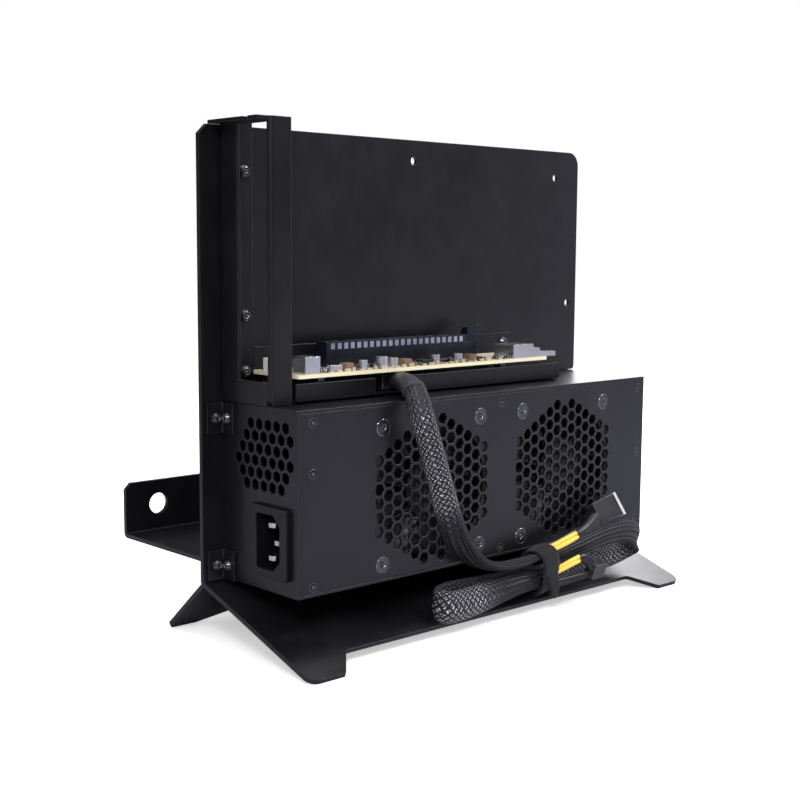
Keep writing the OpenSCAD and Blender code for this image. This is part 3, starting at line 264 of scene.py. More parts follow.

# %% [markdown]
# The braid isn't the same all along. Where the bundle is pulled straight, its strands close up and
# show the wires under them as ribs. Where it bends, they open and glint, and these glints are
# painted into the colour as a highlight. A value on each vertex tells the material how tight the
# braid is there: rows give millimetres along and tightness.

# %% How tight the braid is
tight_keys = np.array([
    [0, 0.6], [30, 0.6], [44, 0.12], [86, 0.05], [104, 0.75], [150, 0.95], [205, 1.0], [240, 0.8],
    [248, 0.3], [258, 0.02], [290, 0.1], [370, 0.2], [400, 0.05], [414, 0.03], [424, 0.3],
    [436, 0.9], [500, 1.0]])
ring_places = np.concatenate([[0], lead_along, lead_along[-1:]])
tight = np.interp(ring_places, tight_keys[:, 0], tight_keys[:, 1])
tight_values = sleeve.data.attributes.new("tight", "FLOAT", "POINT")
tight_values.data.foreach_set("value", np.repeat(tight, SLEEVE_SIDES))
print("tightness from", tight.min(), "to", tight.max())

# %% [markdown]
# The boot is a length of heat-shrink where the bundle leaves its connector. It lies a little over
# the sleeve, widens with the bundle, and the wires inside show through it as faint ridges.

# %% Shrink the boot
boot_keys = [
    [-36.5, -25.5, 112.8, 0.9, 0.43, 0, 4.2, 4.1],
    [-40.5, -33.5, 112.8, 0.9, 0.43, 0, 4.6, 4.2],
    [-43.4, -39.4, 112.7, 0.88, -0.3, 0, 4.9, 4.3],
    [-45.6, -43.7, 112.4, 0.86, -0.5, 0, 5.1, 4.3],
    [-48.0, -48.8, 111.5, 0.86, -0.5, 0, 5.4, 4.3],
    [-49.4, -51.9, 110.5, 0.86, -0.5, 0, 5.5, 4.2]]
boot, _, boot_along = tube("boot", boot_keys, 48, "shrink", spacing=0.5, ridge=0.03,
                           replaced=["lead_boot"], power=0.9)
print("boot:", round(boot_along[-1], 1), "mm long")

# %% [markdown]
# ## The strap
# A strip of hook-and-loop cloth holds the hank. It goes once round the bundle, laps over itself,
# and its end hangs down in front. It is a closed strip with a flat section, carried round a rounded
# loop that leans with the foot plate. The loop widens by the share of it that is wound, so that the
# lap lies on top.

# %% Wrap the strap
# Each row has the middle, the direction across, half the width and half the thickness, as the
# lead's rows do. At its start the strap is 10.8 mm wide, and at its end 9.8 mm.
STRAP_ROWS = 49
LOOP_Y, LOOP_Z = 7.9, 11.2
STRAP_POWER = 0.45
turn_a = np.radians(np.linspace(-78, 402, STRAP_ROWS))
share = np.linspace(0, 1, STRAP_ROWS)
loop_y = LOOP_Y * squared(np.cos(turn_a), 0.8)
loop_z = LOOP_Z * squared(np.sin(turn_a), 0.8)
strap_keys = np.column_stack([
    29.2 - 0.22 * loop_z - 1.5 * share, -56 - loop_y * (1 + 0.16 * share) - 0.3 * loop_z,
    19.6 + loop_z * (1 + 0.05 * share), np.ones(STRAP_ROWS), np.zeros(STRAP_ROWS),
    np.full(STRAP_ROWS, 0.22), 5.4 - 0.5 * share, np.full(STRAP_ROWS, 0.75)])
strap, _, strap_along = tube("strap", strap_keys, 24, "strap_cloth", spacing=0.8,
                             replaced=["lead_strap"], power=STRAP_POWER)
tail_keys = [
    [27.4, -65.4, 21.0, 1, 0, 0.25, 3.6, 0.7],
    [28.2, -66.0, 16.6, 1, -0.05, 0.3, 3.4, 0.7],
    [29.6, -65.8, 12.6, 1, -0.1, 0.35, 2.8, 0.7],
    [30.8, -65.2, 9.4, 1, -0.15, 0.45, 2.0, 0.65],
    [31.6, -64.6, 7.4, 1, -0.2, 0.5, 1.2, 0.6]]
strap_tail = tube("strap_tail", tail_keys, 24, "strap_cloth", spacing=0.6, power=STRAP_POWER)[0]
print("strap:", round(strap_along[-1]), "mm of cloth and its tail")

# %% [markdown]
# ## Wires and plugs
# At its far end the sleeve stops under the strap and the wires come out in two groups. One rises
# to a six-pin plug that leans on the hank, the other drops to a small two-pin one. Wires are round,
# so their two half sizes are equal.

# %% Lay the wires
WIRE_RADIUS = 1.1


def wire(name, slot, points, replaced=()):
    """A round tube through points, its across direction upright."""
    keys = [[*p, 0, 0.1, 1, WIRE_RADIUS, WIRE_RADIUS] for p in points]
    return tube(name, keys, 20, slot, spacing=0.7, replaced=replaced, power=1.0)[0]


yellow_wires = [
    wire("yellow_wire_1", "yellow_wire", [
        [30, -60.9, 31.0], [36, -61.2, 32.2], [43, -61.3, 33.8], [51, -61.3, 35.4]],
         ["plug_wires"]),
    wire("yellow_wire_2", "yellow_wire", [
        [30, -61.5, 29.4], [36, -62.0, 30.4], [44, -62.2, 32.1], [51, -62.0, 33.6]]),
    wire("yellow_wire_3", "yellow_wire", [
        [31, -63.2, 20.0], [38, -64.0, 21.9], [44, -64.3, 23.4], [51, -64.4, 24.7]]),
    wire("yellow_wire_4", "yellow_wire", [
        [31, -63.4, 18.6], [38, -64.3, 20.3], [44, -64.6, 21.6], [51, -64.7, 22.8]])]
black_wires = [
    wire("black_wire_1", "shrink", [
        [30, -58.8, 31.0], [38, -58.9, 32.2], [50, -58.6, 34.8], [62, -57.8, 37.2],
        [72, -56.8, 39.4]]),
    wire("black_wire_2", "shrink", [
        [30, -62.4, 14.4], [40, -63.6, 14.6], [50, -64.6, 15.2], [57, -65.2, 15.8]]),
    wire("black_wire_3", "shrink", [
        [30, -62.2, 12.2], [40, -63.4, 12.8], [50, -64.2, 13.8], [57, -64.6, 14.2]])]
print(len(yellow_wires) + len(black_wires), "wires")

# %% Cover the wires near the plugs
upper_sheath = tube("upper_sheath", [
    [50.0, -61.6, 33.9, 0, 0.2, 1, 2.5, 1.8], [56.0, -61.0, 35.0, 0, 0.2, 1, 3.3, 2.2],
    [62.0, -59.6, 36.1, 0, 0.3, 1, 4.0, 2.5], [67.0, -58.0, 37.2, 0, 0.4, 1, 4.6, 2.8],
    [72.5, -56.4, 38.6, 0, 0.45, 1, 4.9, 3.0]],
    40, "shrink", spacing=0.6, ridge=0.1, power=0.85)[0]
lower_sheath = tube("lower_sheath", [
    [48.6, -64.5, 23.2, 0, 0.1, 1, 2.3, 1.8], [51.4, -64.7, 23.2, 0.2, 0.1, 1, 2.6, 2.0],
    [54.2, -65.0, 22.0, 0.5, 0.1, 0.9, 2.9, 2.2], [56.4, -65.3, 20.0, 0.6, 0.1, 0.8, 3.1, 2.4],
    [57.8, -65.5, 17.6, 0.6, 0.1, 0.7, 3.1, 2.5]],
    32, "shrink", spacing=0.5, ridge=0.08, power=0.9)[0]
print("two sheaths")

# %% [markdown]
# The mouth of the six-pin plug has a moulded rim, which catches the light in the picture as a
# bright line. It is four thin bars set round the mouth and turned with the plug, and their light
# grey colour is a painted highlight for that line.

# %% Bars from arrays
def bars(centres, sizes):
    """Boxes from arrays of centres and sizes in millimetres: a corner is the centre plus or minus
    half the size. Box k has the eight vertices from 8 * k on."""
    sign = np.array([[x, y, z] for z in (-1, 1) for y in (-1, 1) for x in (-1, 1)]) / 2
    points = centres[:, None] + sign[None] * sizes[:, None]
    sides = np.array([[0, 2, 3, 1], [4, 5, 7, 6], [0, 1, 5, 4], [2, 6, 7, 3], [0, 4, 6, 2],
                      [1, 3, 7, 5]])
    first = 8 * np.arange(len(centres))[:, None, None]
    return points.reshape(-1, 3) * MM, (sides[None] + first).reshape(-1, 4)


print("one bar has", len(bars(np.zeros((1, 3)), np.ones((1, 3)))[1]), "faces")

# %% Rim the plug
rim_centres = np.array([[14.85, -0.1, 5.65], [14.85, 7.1, 5.65], [14.85, 3.5, -0.1],
                        [14.85, 3.5, 11.4]])
rim_sizes = np.array([[1.4, 0.6, 12.1], [1.4, 0.6, 12.1], [1.4, 7.0, 0.6], [1.4, 7.0, 0.6]])
points, faces = bars(rim_centres, rim_sizes)
plug_turn = np.array(Euler(np.radians([-28, -14, -8])).to_matrix())
plug_place = np.array([70.5, -61.2, 36.9]) * MM
points = points @ plug_turn.T + plug_place
# The rim takes the finish of its own name, light grey: a painted highlight.
plug_rim = piece("plug_rim", points, faces, "plug_plastic", smooth=False)
print("rim of", len(faces), "faces")

soft_pieces = [boot, strap, strap_tail, upper_sheath, lower_sheath, plug_rim, *yellow_wires,
               *black_wires]

# %% [markdown]
# ## Drive recesses
# A screw seen close up is recognised by the cross in its head. Each cross is two thin dark bars
# sunk into the head; where a head is lighter than the bars, their dark finish is painted shade for
# the hollow of the recess. Their centres are measured on the frame's own screws, so they can't
# miss them.

# %% Find the screw heads
HEAD_REACH = 9.0
LEVEL_SPREAD = 0.02


def head_centres(node, axis, side):
    """Centres of a node's screw heads, in millimetres. The points furthest out along the axis are
    the heads' faces, and points less than a head apart belong to one head: the first of them stands
    for it."""
    mesh = nodes[node].data
    co = np.empty(len(mesh.vertices) * 3)
    mesh.vertices.foreach_get("co", co)
    co = co.reshape(-1, 3) / MM
    out = co[:, axis] * side
    face = co[out > out.max() - LEVEL_SPREAD]
    apart = np.linalg.norm(face[:, None] - face[None], axis=-1)
    first = (apart < HEAD_REACH).argmax(1)
    heads = [face[first == k] for k in np.unique(first)]
    return np.array([(head.min(0) + head.max(0)) / 2 for head in heads])


print("the first fan screw is at", head_centres("fan_screws", 1, -1)[0].round(1), "mm")

# %% Sink the crosses
# Each row is the node, the axis that its heads look along and the side, the cross's span and depth.
recess_rows = [
    ("holder_screws", 1, -1, 2.6, 0.9), ("bracket_screws", 1, -1, 2.2, 0.9),
    ("bracket_screws", 0, -1, 2.2, 0.9), ("fan_screws", 1, -1, 3.2, 0.5),
    ("cover_screws", 1, -1, 1.7, 0.4), ("board_screws", 2, 1, 2.4, 0.9),
    ("case_screws", 1, 1, 2.6, 0.9), ("rear_screws", 1, 1, 2.6, 0.9)]
BAR_SHARE = 0.22
SUNK = 0.06
bar_centres, bar_sizes = [], []
for node_name, axis, side, span, depth in recess_rows:
    middles = head_centres(node_name, axis, side)
    middles[:, axis] -= side * (depth / 2 + SUNK)
    long_a = np.full(3, span)
    long_a[axis] = depth
    long_b = long_a.copy()
    long_a[(axis + 1) % 3] = long_b[(axis + 2) % 3] = span * BAR_SHARE
    bar_centres += [middles, middles]
    bar_sizes += [np.repeat([long_a], len(middles), 0), np.repeat([long_b], len(middles), 0)]
    print(node_name, len(middles), "heads")
points, faces = bars(np.concatenate(bar_centres), np.concatenate(bar_sizes))
# The bars' dark finish is painted shade in the recesses, with painted highlights on their edges.
crosses = piece("screw_recesses", points, faces, "dark_screw", smooth=False)

# %% [markdown]
# ## Small parts of the riser board
# Round the slot the board is covered with resistors and ceramic capacitors about as big as grains
# of rice. Each has a dark or tan body between two tinned ends, so they are made as two pieces:
# all the bodies, and all the ends.

# %% Scatter the small parts
board_low, board_high = (np.array(v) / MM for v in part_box("riser_board"))
dice = np.random.default_rng(7)
# Four rows of places along the board, with gaps, and how far each row lies in from its edge.
k = np.arange(34)
row_x = [np.linspace(20, 127, 34)[k % 5 != 3], np.linspace(22, 129, 34)[k % 4 != 1],
         np.linspace(44, 84, 16)[k[:16] % 3 != 2], np.linspace(99, 113, 16)[::4]]
row_y = np.repeat([15.6, 18.4, 10.6, 12.9], [len(x) for x in row_x])
small = np.column_stack([board_low[0] + np.concatenate(row_x), board_low[1] + row_y,
                         np.full(len(row_y), board_high[2])])
small_size = np.column_stack([
    1.0 + 0.25 * dice.integers(0, 3, len(small)), np.full(len(small), 0.9),
    0.45 + 0.2 * dice.integers(0, 3, len(small))])
# Two rows of larger parts stand nearer to the edge.
large_x = np.array([14.6, 17.2, 34.6, 43.9, 46.2, 68.9, 71.8, 80.4, 94.6, 101.9, 110.9, 113.9, 123,
                    126, 129, 131.6])
large = np.column_stack([
    np.tile(board_low[0] + large_x, 2), board_low[1] + np.repeat([3.0, 6.1], len(large_x)),
    np.full(2 * len(large_x), board_high[2])])
large_size = np.column_stack([
    1.9 - 0.3 * dice.integers(0, 2, len(large)), 1.3 + 0.4 * dice.integers(0, 3, len(large)),
    0.7 + 0.35 * dice.integers(0, 4, len(large))])
parts, size = np.concatenate([small, large]), np.concatenate([small_size, large_size])
parts[:, 2] += size[:, 2] / 2
points, faces = bars(parts, size)
small_bodies = piece("small_part_bodies", points, faces, "chip_plastic", smooth=False)

# %% Tin their ends
# An end is a quarter of the part long and stands proud of its body a little on the other sides.
END_SHARE = [0.26, 1.06, 1.06]
end = size * END_SHARE
shift = (size[:, :1] - end[:, :1]) / 2 * [[1, 0, 0]] + [[0, 0, 0.02]]
points, faces = bars(np.concatenate([parts - shift, parts + shift]), np.concatenate([end, end]))
small_ends = piece("small_part_ends", points, faces, "can_metal", smooth=False)
print(2 * len(parts), "ends")

# %% [markdown]
# ## Finishes
# Effects that several materials share are node groups: a group gives colours, values and normals
# that change over a surface, and the shader stays in the material. Each finish then names its
# colour and places the groups with its own scale and depth.

# %% Node helpers
def new_group(name, inputs, outputs):
    """A shader node group with sockets from lists of (name, kind, value)."""
    group = bpy.data.node_groups.new(name, "ShaderNodeTree")
    for label, kind, value in inputs:
        socket = group.interface.new_socket(label, in_out="INPUT", socket_type="NodeSocket" + kind)
        socket.default_value = value
    for label, kind in outputs:
        group.interface.new_socket(label, in_out="OUTPUT", socket_type="NodeSocket" + kind)
    gin = group.nodes.new("NodeGroupInput").outputs
    return group, gin, group.nodes.new("NodeGroupOutput").inputs


def add(tree, kind, links=(), **values):
    """A node in a tree: values are its own settings, and links are (input, socket or number)."""
    node = tree.nodes.new("ShaderNode" + kind)
    for key, value in values.items():
        setattr(node, key, value)
    for key, source in links:
        if isinstance(source, bpy.types.NodeSocket):
            tree.links.new(source, node.inputs[key])
        else:
            node.inputs[key].default_value = source
    return node


# %% Sums and mixtures by nodes
def math(tree, operation, a, b=0.0, clamp=False):
    """One Math node, and its result."""
    return add(tree, "Math", [(0, a), (1, b)], operation=operation, use_clamp=clamp).outputs[0]


def times_plus(tree, value, factor, more):
    """value * factor + more."""
    return math(tree, "ADD", math(tree, "MULTIPLY", value, factor), more)


def blend(tree, factor, a, b):
    """A value that goes from a to b as factor goes from 0 to 1."""
    return add(tree, "Mix", [(0, factor), (2, a), (3, b)]).outputs[0]


def mix(tree, factor, a, b):
    """A colour that goes from a to b as factor goes from 0 to 1."""
    return add(tree, "Mix", [("Factor", factor), (6, a), (7, b)], data_type="RGBA").outputs[2]


def spread(tree, value, low, high, new_low, new_high):
    """value carried from the range low to high onto new_low to new_high, and held at its ends."""
    return add(tree, "MapRange", [("Value", value), (1, low), (2, high), (3, new_low),
                                  (4, new_high)]).outputs[0]


def dot(tree, a, b):
    """The dot product of two vectors: 1 where they point the same way."""
    return add(tree, "VectorMath", [(0, a), (1, b)], operation="DOT_PRODUCT").outputs["Value"]


# %% [markdown]
# The dock is mostly powder-coated sheet. Real powder coat has a fine grain and a slow drift in
# gloss, and its edges catch the light. A picture of paint would bring its own size and seams, so
# noise in each object's own coordinates does it, and a bevel that only the shader sees finds the
# edges, where a lighter colour is painted on as their highlight.

# %% Group: fine coat
def make_coat():
    """Grain and cloudiness: a fine noise lifts the surface, and a broad one changes tone and gloss.
    The painted highlight mask, for the lighter edges, is how far a rounded normal has turned from
    the flat one."""
    tree, gin, gout = new_group(
        "fine coat",
        [("Grain per Metre", "Float", 2400.0), ("Depth", "Float", 0.2), ("Rough", "Float", 0.4),
         ("Rough Spread", "Float", 0.08), ("Edge", "Float", 0.0005)],
        [("Tone", "Float"), ("Roughness", "Float"), ("Painted Highlight Mask", "Float"), ("Normal", "Vector")])
    place = add(tree, "TexCoord").outputs["Object"]
    grain = add(tree, "TexNoise", [("Vector", place), ("Scale", gin["Grain per Metre"]),
                                   ("Detail", 2.0)]).outputs[0]
    cloud = add(tree, "TexNoise", [("Vector", place), ("Scale", 22.0), ("Detail", 5.0),
                                   ("Roughness", 0.62)]).outputs[0]
    smear = add(tree, "TexNoise", [("Vector", place), ("Scale", 150.0), ("Detail", 3.0)]).outputs[0]
    mixed = times_plus(tree, cloud, 0.7, math(tree, "MULTIPLY", smear, 0.3))
    tree.links.new(mixed, gout["Tone"])
    off = math(tree, "MULTIPLY", math(tree, "SUBTRACT", mixed, 0.5), gin["Rough Spread"])
    tree.links.new(times_plus(tree, off, 4.0, gin["Rough"]), gout["Roughness"])
    rounded = add(tree, "Bevel", [("Radius", gin["Edge"])], samples=4).outputs[0]
    flat = add(tree, "NewGeometry").outputs["Normal"]
    turned = math(tree, "SUBTRACT", 1.0, dot(tree, rounded, flat))
    # This mask marks the edges for a painted highlight in the colour.
    tree.links.new(math(tree, "MULTIPLY", turned, 3.5, True), gout["Painted Highlight Mask"])
    bump = add(tree, "Bump", [("Strength", gin["Depth"]), ("Distance", 0.0002),
                              ("Height", grain), ("Normal", rounded)])
    tree.links.new(bump.outputs[0], gout["Normal"])
    return tree


coat_group = make_coat()
print("group", coat_group.name)


# %% [markdown]
# The sleeve is woven from flat bundles of nylon thread. To model each thread would take millions
# of faces, so the weave is worked out from the UV map, where U runs round the sleeve and V runs
# along it in metres. The strap's cloth is finer still, and needs only curly noise over fine bands.

# %% Group: braid
PI = float(np.pi)
RIBS = 17


def make_braid():
    """Over and under strands from the UV map. Two families of slanted lines p = around + along and
    q = around - along cut the sleeve into lozenges. A lozenge swells in its middle by
    (|sin pi p| * |sin pi q|) ^ 0.4 and shows two fine filaments along its own family, and the
    next one shows the other family. Where the braid is tight, ribs along the bundle take over.
    Its tone feeds a ramp that paints highlights on the strand tops and shade in the gaps, and it is
    lower where the braid is tight. Strands are glossier than the gaps between them."""
    tree, gin, gout = new_group(
        "braid",
        [("Strands", "Float", 14.0), ("Pitch", "Float", 0.003), ("Depth", "Float", 0.8)],
        [("Tone", "Float"), ("Roughness", "Float"), ("Normal", "Vector")])
    uv = add(tree, "UVMap", uv_map="UVMap").outputs[0]
    split = add(tree, "SeparateXYZ", [("Vector", uv)]).outputs
    tight_here = add(tree, "Attribute", attribute_name="tight").outputs["Fac"]
    wobble = add(tree, "TexNoise", [("Vector", uv), ("Scale", 90.0), ("Detail", 1.0)]).outputs[0]
    around = times_plus(tree, wobble, 0.5, math(tree, "MULTIPLY", split[0], gin["Strands"]))
    forward = math(tree, "DIVIDE", split[1], gin["Pitch"])
    p, q = math(tree, "ADD", around, forward), math(tree, "SUBTRACT", around, forward)

    def wave(value, count):
        """The size of sin(pi * count * value): count humps for each step of value."""
        return math(tree, "ABSOLUTE", math(tree, "SINE", math(tree, "MULTIPLY", value, PI * count)))

    swell = math(tree, "POWER", math(tree, "MULTIPLY", wave(p, 1), wave(q, 1)), 0.4)
    steps = math(tree, "ADD", math(tree, "FLOOR", p), math(tree, "FLOOR", q))
    parity = math(tree, "ABSOLUTE", math(tree, "MODULO", steps, 2.0))
    glint = add(tree, "TexNoise", [("Vector", uv), ("Scale", 260.0), ("Detail", 1.0)]).outputs[0]
    fine = math(tree, "MULTIPLY", blend(tree, parity, wave(p, 2), wave(q, 2)),
                times_plus(tree, glint, 1.4, 0.3))
    open_height = math(tree, "MULTIPLY", swell, times_plus(tree, fine, 0.6, 0.4))
    rib = times_plus(tree, wave(split[0], RIBS), 0.8, math(tree, "MULTIPLY", swell, 0.2))
    height = blend(tree, tight_here, open_height, rib)
    # Where the braid is tight, the painted highlight is weaker.
    bright = times_plus(tree, tight_here, -0.62, 1.0)
    tree.links.new(math(tree, "MULTIPLY", height, bright), gout["Tone"])
    rough = times_plus(tree, tight_here, 0.16, times_plus(tree, height, -0.42, 0.62))
    tree.links.new(rough, gout["Roughness"])
    bump = add(tree, "Bump", [("Strength", gin["Depth"]), ("Distance", 0.0012), ("Height", height)])
    tree.links.new(bump.outputs[0], gout["Normal"])
    return tree


braid_group = make_braid()
print("group", braid_group.name)


# %% Group: cloth
def make_cloth():
    """Loop cloth: short curly fibres are a twisted fine noise, over a ground woven in bands."""
    tree, gin, gout = new_group("loop cloth", [("Scale", "Float", 1400.0), ("Depth", "Float", 0.7)],
                                [("Tone", "Float"), ("Normal", "Vector")])
    place = add(tree, "TexCoord").outputs["Object"]
    fibre = add(tree, "TexNoise", [("Vector", place), ("Scale", gin["Scale"]), ("Detail", 3.0),
                                   ("Distortion", 1.2)]).outputs[0]
    weave = add(tree, "TexWave", [("Vector", place), ("Scale", 420.0), ("Distortion", 1.5),
                                  ("Detail", 1.0)], bands_direction="DIAGONAL").outputs["Fac"]
    height = times_plus(tree, fibre, 0.7, math(tree, "MULTIPLY", weave, 0.3))
    tree.links.new(height, gout["Tone"])
    bump = add(tree, "Bump", [("Strength", gin["Depth"]), ("Distance", 0.0004), ("Height", height)])
    tree.links.new(bump.outputs[0], gout["Normal"])
    return tree


cloth_group = make_cloth()
print("group", cloth_group.name)


# %% [markdown]
# Every finish is one Principled shader. Sheet, screws and moulded parts differ in tone, gloss,
# grain and edges, not in kind, so one function makes them all from a row of numbers, and the
# numbers can be compared side by side.

# %% Start a finish
def finish(name, metallic=0.0, specular=0.5, coat=0.0, sheen=0.0):
    """A material with its Principled shader. What is the same all over is set on its sockets."""
    made = bpy.data.materials.new(name)
    made.use_nodes = True
    tree = made.node_tree
    tree.nodes.clear()
    shader = add(tree, "BsdfPrincipled")
    for key, value in (("Metallic", metallic), ("Specular IOR Level", specular),
                       ("Coat Weight", coat), ("Coat Roughness", 0.2), ("Sheen Weight", sheen),
                       ("Sheen Roughness", 0.4)):
        shader.inputs[key].default_value = value
    output = tree.nodes.new("ShaderNodeOutputMaterial")
    tree.links.new(shader.outputs[0], output.inputs[0])
    return made, tree, shader


# %% Place a group and colour it
def place_group(tree, group, **values):
    """The group as a node of a tree, its inputs set by name with spaces as low lines."""
    node = tree.nodes.new("ShaderNodeGroup")
    node.node_tree = group
    for key, value in values.items():
        node.inputs[key.replace("_", " ")].default_value = value
    return node.outputs


def ramp(tree, value, stops):
    """A colour ramp from a value, with stops of (place, colour)."""
    node = add(tree, "ValToRGB", [(0, value)])
    while len(node.color_ramp.elements) < len(stops):
        node.color_ramp.elements.new(0.5)
    for element, (place, colour) in zip(node.color_ramp.elements, stops):
        element.position = place
        element.color = (*colour, 1)
    return node.outputs[0]


# %% A coated surface
ROUGH_SPREAD = 0.06


def coated(name, dark, light, rough, grain=2400.0, depth=0.2, edge=None, edge_mm=0.45, **look):
    """A coated or moulded surface: its tone drifts from dark to light, its roughness varies a
    little, and where an edge colour is given, its edges are painted in it as a highlight."""
    made, tree, shader = finish(name, **look)
    out = place_group(tree, coat_group, Grain_per_Metre=grain, Depth=depth, Rough=rough,
                      Rough_Spread=ROUGH_SPREAD, Edge=edge_mm * MM)
    colour = ramp(tree, out["Tone"], [(0.35, dark), (0.65, light)])
    # The edge colour paints a highlight on the edges.
    if edge:
        colour = mix(tree, out["Painted Highlight Mask"], colour, (*edge, 1))
    tree.links.new(colour, shader.inputs["Base Color"])
    tree.links.new(out["Roughness"], shader.inputs["Roughness"])
    tree.links.new(out["Normal"], shader.inputs["Normal"])
    return made


# %% Sheet metal, screws, fans and inlet
# Where a row gives an edge colour, it is a painted highlight on the piece's edges.
finishes = {
    "black_sheet": coated("black_sheet_paint", (0.0026, 0.0026, 0.0034), (0.0056, 0.0057, 0.0072),
                          0.34, edge=(0.032, 0.032, 0.037)),
    "black_cover": coated("black_cover_paint", (0.0032, 0.0032, 0.0042), (0.0066, 0.0067, 0.0085),
                          0.32, edge=(0.036, 0.036, 0.042)),
    "steel": coated("black_zinc_steel", (0.035, 0.036, 0.04), (0.11, 0.112, 0.12), 0.18,
                    grain=900.0, depth=0.1, edge=(0.9, 0.91, 0.94), edge_mm=0.4, metallic=0.85),
    "dark_screw": coated("black_oxide", (0.006, 0.006, 0.007), (0.02, 0.02, 0.022), 0.3,
                         grain=1500.0, depth=0.15, edge=(0.5, 0.5, 0.53), edge_mm=0.22,
                         metallic=0.5),
    "fan_plastic": coated("fan_plastic_black", (0.004, 0.004, 0.005), (0.009, 0.009, 0.011), 0.42,
                          grain=1800.0, depth=0.25),
    "inlet_plastic": coated("inlet_plastic_black", (0.0022, 0.0022, 0.003),
                            (0.005, 0.005, 0.0064), 0.38, grain=1500.0, specular=0.4),
    "pin_metal": coated("pin_brass_plated", (0.62, 0.58, 0.48), (0.8, 0.77, 0.7), 0.22,
                        grain=700.0, depth=0.08, edge_mm=0.2, metallic=1.0),
}
print(", ".join(finishes))

# %% Parts on the boards
finishes |= {
    "can_sleeve": coated("capacitor_sleeve", (0.012, 0.016, 0.035), (0.02, 0.026, 0.05), 0.25,
                         grain=600.0, depth=0.08, coat=0.3),
    "heat_sink": coated("heat_sink_aluminium", (0.5, 0.51, 0.53), (0.68, 0.69, 0.7), 0.36,
                        grain=1300.0, depth=0.3, metallic=1.0),
    "contact_metal": coated("contact_tin", (0.22, 0.24, 0.32), (0.5, 0.53, 0.62), 0.3,
                            grain=900.0, depth=0.1, edge_mm=0.1, metallic=0.7),
    "port_metal": coated("port_shell_nickel", (0.66, 0.66, 0.67), (0.84, 0.84, 0.84), 0.24,
                         grain=1100.0, depth=0.12, edge_mm=0.2, metallic=1.0),
    "white_plastic": coated("white_nylon", (0.74, 0.73, 0.69), (0.84, 0.83, 0.79), 0.45,
                            grain=1200.0, depth=0.15),
    "chip_plastic": coated("chip_moulding", (0.012, 0.012, 0.013), (0.024, 0.024, 0.025), 0.5,
                           grain=3000.0, depth=0.3, edge_mm=0.1),
    "ferrite": coated("ferrite_brown", (0.12, 0.07, 0.04), (0.26, 0.16, 0.1), 0.42, grain=2000.0,
                      depth=0.35, edge_mm=0.2),
    "can_metal": coated("can_aluminium", (0.6, 0.6, 0.61), (0.82, 0.82, 0.83), 0.28,
                        grain=1300.0, depth=0.12, edge_mm=0.2, metallic=1.0),
    "ceramic": coated("ceramic_tan", (0.34, 0.26, 0.15), (0.62, 0.53, 0.37), 0.38, grain=1600.0,
                      depth=0.15, edge_mm=0.1),
    # The slot's edge colour is a painted highlight.
    "slot_plastic": coated("slot_plastic_navy", (0.002, 0.0026, 0.0065), (0.004, 0.0055, 0.013),
                           0.28, grain=1500.0, depth=0.15, edge=(0.018, 0.023, 0.045),
                           edge_mm=0.2),
}
print(len(finishes), "finishes so far")

# %% Boot, wires and plugs
finishes |= {
    "shrink": coated("heat_shrink", (0.005, 0.005, 0.006), (0.014, 0.014, 0.016), 0.38,
                     grain=700.0, depth=0.35, edge_mm=0.2),
    "boot": coated("boot_matte_grey", (0.02, 0.02, 0.0225), (0.05, 0.05, 0.054), 0.5,
                   grain=900.0, depth=0.3, edge_mm=0.2, specular=0.4),
    # The plug's light edge colour is a painted highlight.
    "plug_plastic": coated("plug_nylon_black", (0.012, 0.012, 0.0145), (0.03, 0.03, 0.035), 0.3,
                           grain=1300.0, edge=(0.4, 0.41, 0.44), edge_mm=0.4),
    # A painted highlight: the rim is coloured light grey with still lighter edges.
    "plug_rim": coated("plug_rim_painted_highlight", (0.4, 0.4, 0.42), (0.6, 0.6, 0.63), 0.16, grain=600.0,
                       depth=0.08, edge=(0.8, 0.8, 0.83), edge_mm=0.3, specular=0.7),
    "yellow_wire": coated("wire_insulation_yellow", (0.78, 0.47, 0.03), (0.88, 0.6, 0.09), 0.34,
                          grain=500.0, depth=0.1, edge_mm=0.1),
}
print(len(finishes), "coated finishes")

# %% [markdown]
# The braid is glossy nylon. Its colour follows the height of the weave: a painted highlight on
# the strand tops, where strands catch light, and painted shade, almost black, in the gaps.

# %% Braid and strap
# Stops from painted shade in the gaps to painted highlight on the strand tops.
BRAID_PAINTED_LIGHT_STOPS = [(0.1, (0.001, 0.001, 0.0015)), (0.56, (0.006, 0.006, 0.0085)),
               (0.73, (0.12, 0.123, 0.145)), (0.9, (0.97, 0.975, 1.0))]
CLOTH_STOPS = [(0.3, (0.004, 0.004, 0.005)), (0.75, (0.022, 0.023, 0.027))]
made, tree, shader = finish("braid_nylon", specular=0.6)
out = place_group(tree, braid_group)
tree.links.new(ramp(tree, out["Tone"], BRAID_PAINTED_LIGHT_STOPS), shader.inputs["Base Color"])
tree.links.new(out["Roughness"], shader.inputs["Roughness"])
tree.links.new(out["Normal"], shader.inputs["Normal"])
finishes["braid"] = made
made, tree, shader = finish("strap_loop_cloth", specular=0.3, sheen=0.1)
out = place_group(tree, cloth_group)
tree.links.new(ramp(tree, out["Tone"], CLOTH_STOPS), shader.inputs["Base Color"])
shader.inputs["Roughness"].default_value = 0.85
tree.links.new(out["Normal"], shader.inputs["Normal"])
finishes["strap_cloth"] = made
print("braid and strap")


# %% [markdown]
# A printed board is a glass laminate with a thin mask on both faces. Its cut edge shows the pale
# laminate, and under the mask run straight copper traces round plated holes.

# %% Board finishes
PLATED = (0.75, 0.62, 0.36, 1)


